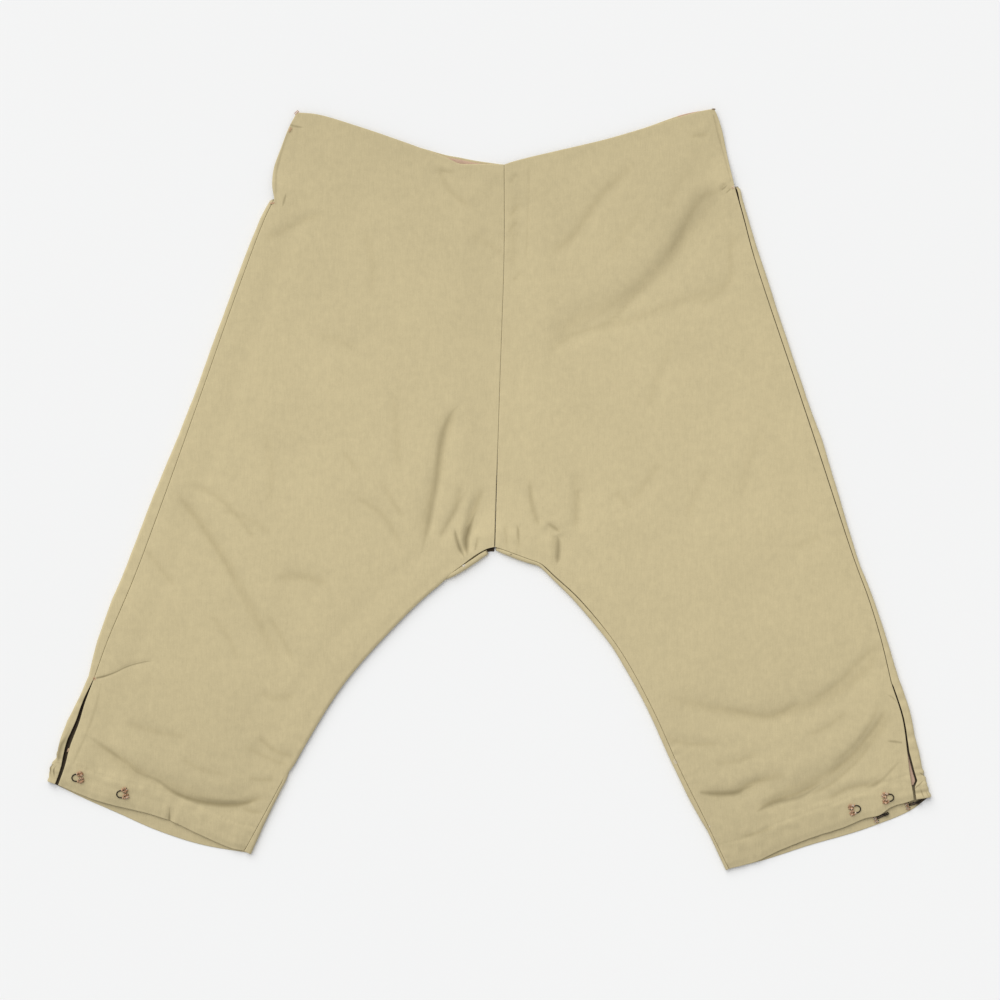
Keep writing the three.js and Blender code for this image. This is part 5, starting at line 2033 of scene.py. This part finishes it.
@dataclass
class Fastening:
    """All hooks and eyes, and the sewing that shows."""

    reliefs: dict[Side, Relief]

    def _tacks(self, thread: Stitches) -> None:
        """Adds bar tacks at the ends of the openings and slits, and loose ends of thread.

        Args:
            thread: takes the stitches.
        """
        strip, front = STRIP_TOP, STRIP_TOP + 0.1
        bundles = (
            # name, x, y, heading, level, length, width, count, palest and darkest tone
            ("right opening end", -206.4, 271.6, 8, front, 4.6, 1.3, 4, 0.3, 0.45),
            ("left opening end", 231.4, 286.6, 120, front, 2.8, 2.2, 4, 0.12, 0.34),
            ("right slit top", -375.2, -180.2, 20, front, 2.4, 2.2, 4, 0.3, 0.5),
            ("right top corner", -183.4, 357.8, 40, 4.0, 5.0, 2.0, 4, 0.38, 0.55),
            ("right corner fold", -189.6, 341.6, 60, 4.6, 4.2, 1.4, 3, 0.3, 0.45),
            ("right slit patch", -400.2, -248.0, 75, front, 3.4, 1.6, 4, 0.26, 0.4),
            ("left top corner", 213.0, 361.0, 5, 4.2, 3.4, 1.0, 3, 0.75, 0.95),
            ("crotch knot", -24.4, -72.8, 30, strip, 2.6, 1.4, 4, 0.0, 0.06),
            ("crotch dot", 20.8, -62.0, 90, strip, 1.0, 0.8, 2, 0.85, 1.0),
            ("left inseam loop", 176.6, -259.6, 300, strip, 4.2, 1.0, 2, 0.0, 0.08),
            ("left inseam dot", 209.2, -320.6, 45, strip, 1.6, 0.8, 2, 0.0, 0.1),
        )
        for name, x, y, heading, level, length, width, count, low, high in bundles:
            thread.bundle(Place(name, x, y, heading), level, length, width, count, (low, high))

    def build(self, wire: bpy.types.Material, cotton: bpy.types.Material) -> list[bpy.types.Object]:
        """Makes all wires and the two pieces of sewing.

        Args:
            wire: finish of the wires.
            cotton: finish of the thread.

        Returns:
            The finished pieces.
        """
        eye_thread, tacks = Stitches(seed=5), Stitches(seed=6)
        pieces = [Eye(place, self.reliefs[side]).build(wire, eye_thread)
                  for side, places in EYES.items() for place in places]
        pieces += [Hook(place).build(wire, eye_thread) for place in HOOKS]
        self._tacks(tacks)
        pieces += [eye_thread.build("thread_hooks_and_eyes", cotton), tacks.build("thread_tacks", cotton)]
        return pieces


# ---------- The stage ----------


@dataclass
class Stage:
    """Floor, light and camera."""

    view_width: float = 950.0  # what the camera sees at the cloth
    cloth_level: float = 5.0
    centre: tuple[float, float] = (9.98, -10.45)
    distance: float = 3000.0  # of the camera
    sensor: float = 36.0
    key_strength: float = 2.19
    key_angle: float = 1.05  # how wide the lamp looks, in radians
    key_from: tuple[float, float, float] = (-0.42, 0.72, 0.78)
    sky: float = 0.545
    floor_size: float = 6000.0
    floor_level: float = -0.1

    def build_floor(self) -> bpy.types.Object:
        """Makes the pale floor just under the cloth.

        Returns:
            The floor.
        """
        corners = self.floor_size / 2 * np.array([[-1, -1, 0], [1, -1, 0], [1, 1, 0], [-1, 1, 0]])
        corners += (0, 0, self.floor_level)
        floor = Mesh(corners, np.array([[0, 1, 2, 3]])).build("floor")
        nodes = Nodes("pale_paper")
        cloud = nodes.noise(nodes.place(), 1.5, 2.0)
        floor.data.materials.append(nodes.dress({
            "Base Color": nodes.mix(cloud, rgba((0.882, 0.884, 0.884)), rgba((0.902, 0.904, 0.904))),
            "Roughness": 0.95,
            "Specular IOR Level": 0.1,
        }))
        return floor

    def light(self) -> None:
        """Adds a wide soft lamp at the upper left and an even bright sky."""
        lamp = bpy.data.lights.new("soft_lamp", "SUN")
        lamp.energy = self.key_strength
        lamp.angle = self.key_angle
        lamp.color = (1.0, 0.995, 0.985)
        holder = bpy.data.objects.new("soft_lamp", lamp)
        holder.location = self.key_from
        holder.rotation_euler = Vector(self.key_from).to_track_quat("Z", "Y").to_euler()
        bpy.context.scene.collection.objects.link(holder)
        world = bpy.data.worlds.new("sky")
        world.use_nodes = True
        background = next(node for node in world.node_tree.nodes if node.type == "BACKGROUND")
        background.inputs["Color"].default_value = (0.985, 0.992, 1.0, 1.0)
        background.inputs["Strength"].default_value = self.sky
        bpy.context.scene.world = world

    def aim_camera(self) -> None:
        """Adds a camera that looks straight down, so that the view is view_width wide at the cloth."""
        scene = bpy.context.scene
        camera = bpy.data.cameras.new("camera")
        camera.sensor_width = self.sensor
        camera.lens = self.sensor * (self.distance - self.cloth_level) / self.view_width
        camera.clip_end = 50.0
        holder = bpy.data.objects.new("camera", camera)
        holder.location = Vector((*self.centre, self.distance)) * MM
        scene.collection.objects.link(holder)
        scene.camera = holder
        scene.view_settings.view_transform = "Standard"

    def build(self) -> None:
        """Makes all of the stage."""
        self.build_floor()
        self.light()
        self.aim_camera()


def main() -> None:
    """Builds the garment and its stage."""
    logging.basicConfig(level=logging.INFO, format="%(name)s: %(message)s")
    Stage().build()
    sateens = (Sateen(creases=BACK_CREASES), Sateen(name="sateen_front", creases=CREASES))
    finishes = (*sateens, Lining(), Wire(), Thread())
    sateen, creased, lining, wire, cotton = (finish.material() for finish in finishes)
    halves = {Side.RIGHT: Half(RIGHT), Side.LEFT: Half(LEFT)}
    backs = {
        Side.RIGHT: Back(halves[Side.RIGHT], (0.320, 0.745), 0.187),
        Side.LEFT: Back(halves[Side.LEFT], (0.320, 0.745), 0.190),
    }
    fronts = {
        Side.RIGHT: Front(halves[Side.RIGHT], (0.300, 0.745), 0.170),
        Side.LEFT: Front(halves[Side.LEFT], (0.300, 0.745), 0.175),
    }
    pieces = [back.build(sateen) for back in backs.values()]
    pieces += [front.build(creased) for front in fronts.values()]
    pieces += Facings(backs).build(lining)
    pieces += Fastening({side: Relief(half) for side, half in halves.items()}).build(wire, cotton)
    for piece in pieces:
        log.info("%s: %d faces", piece.name, len(piece.data.polygons))
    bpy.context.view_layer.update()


if __name__ == "__main__":
    main()
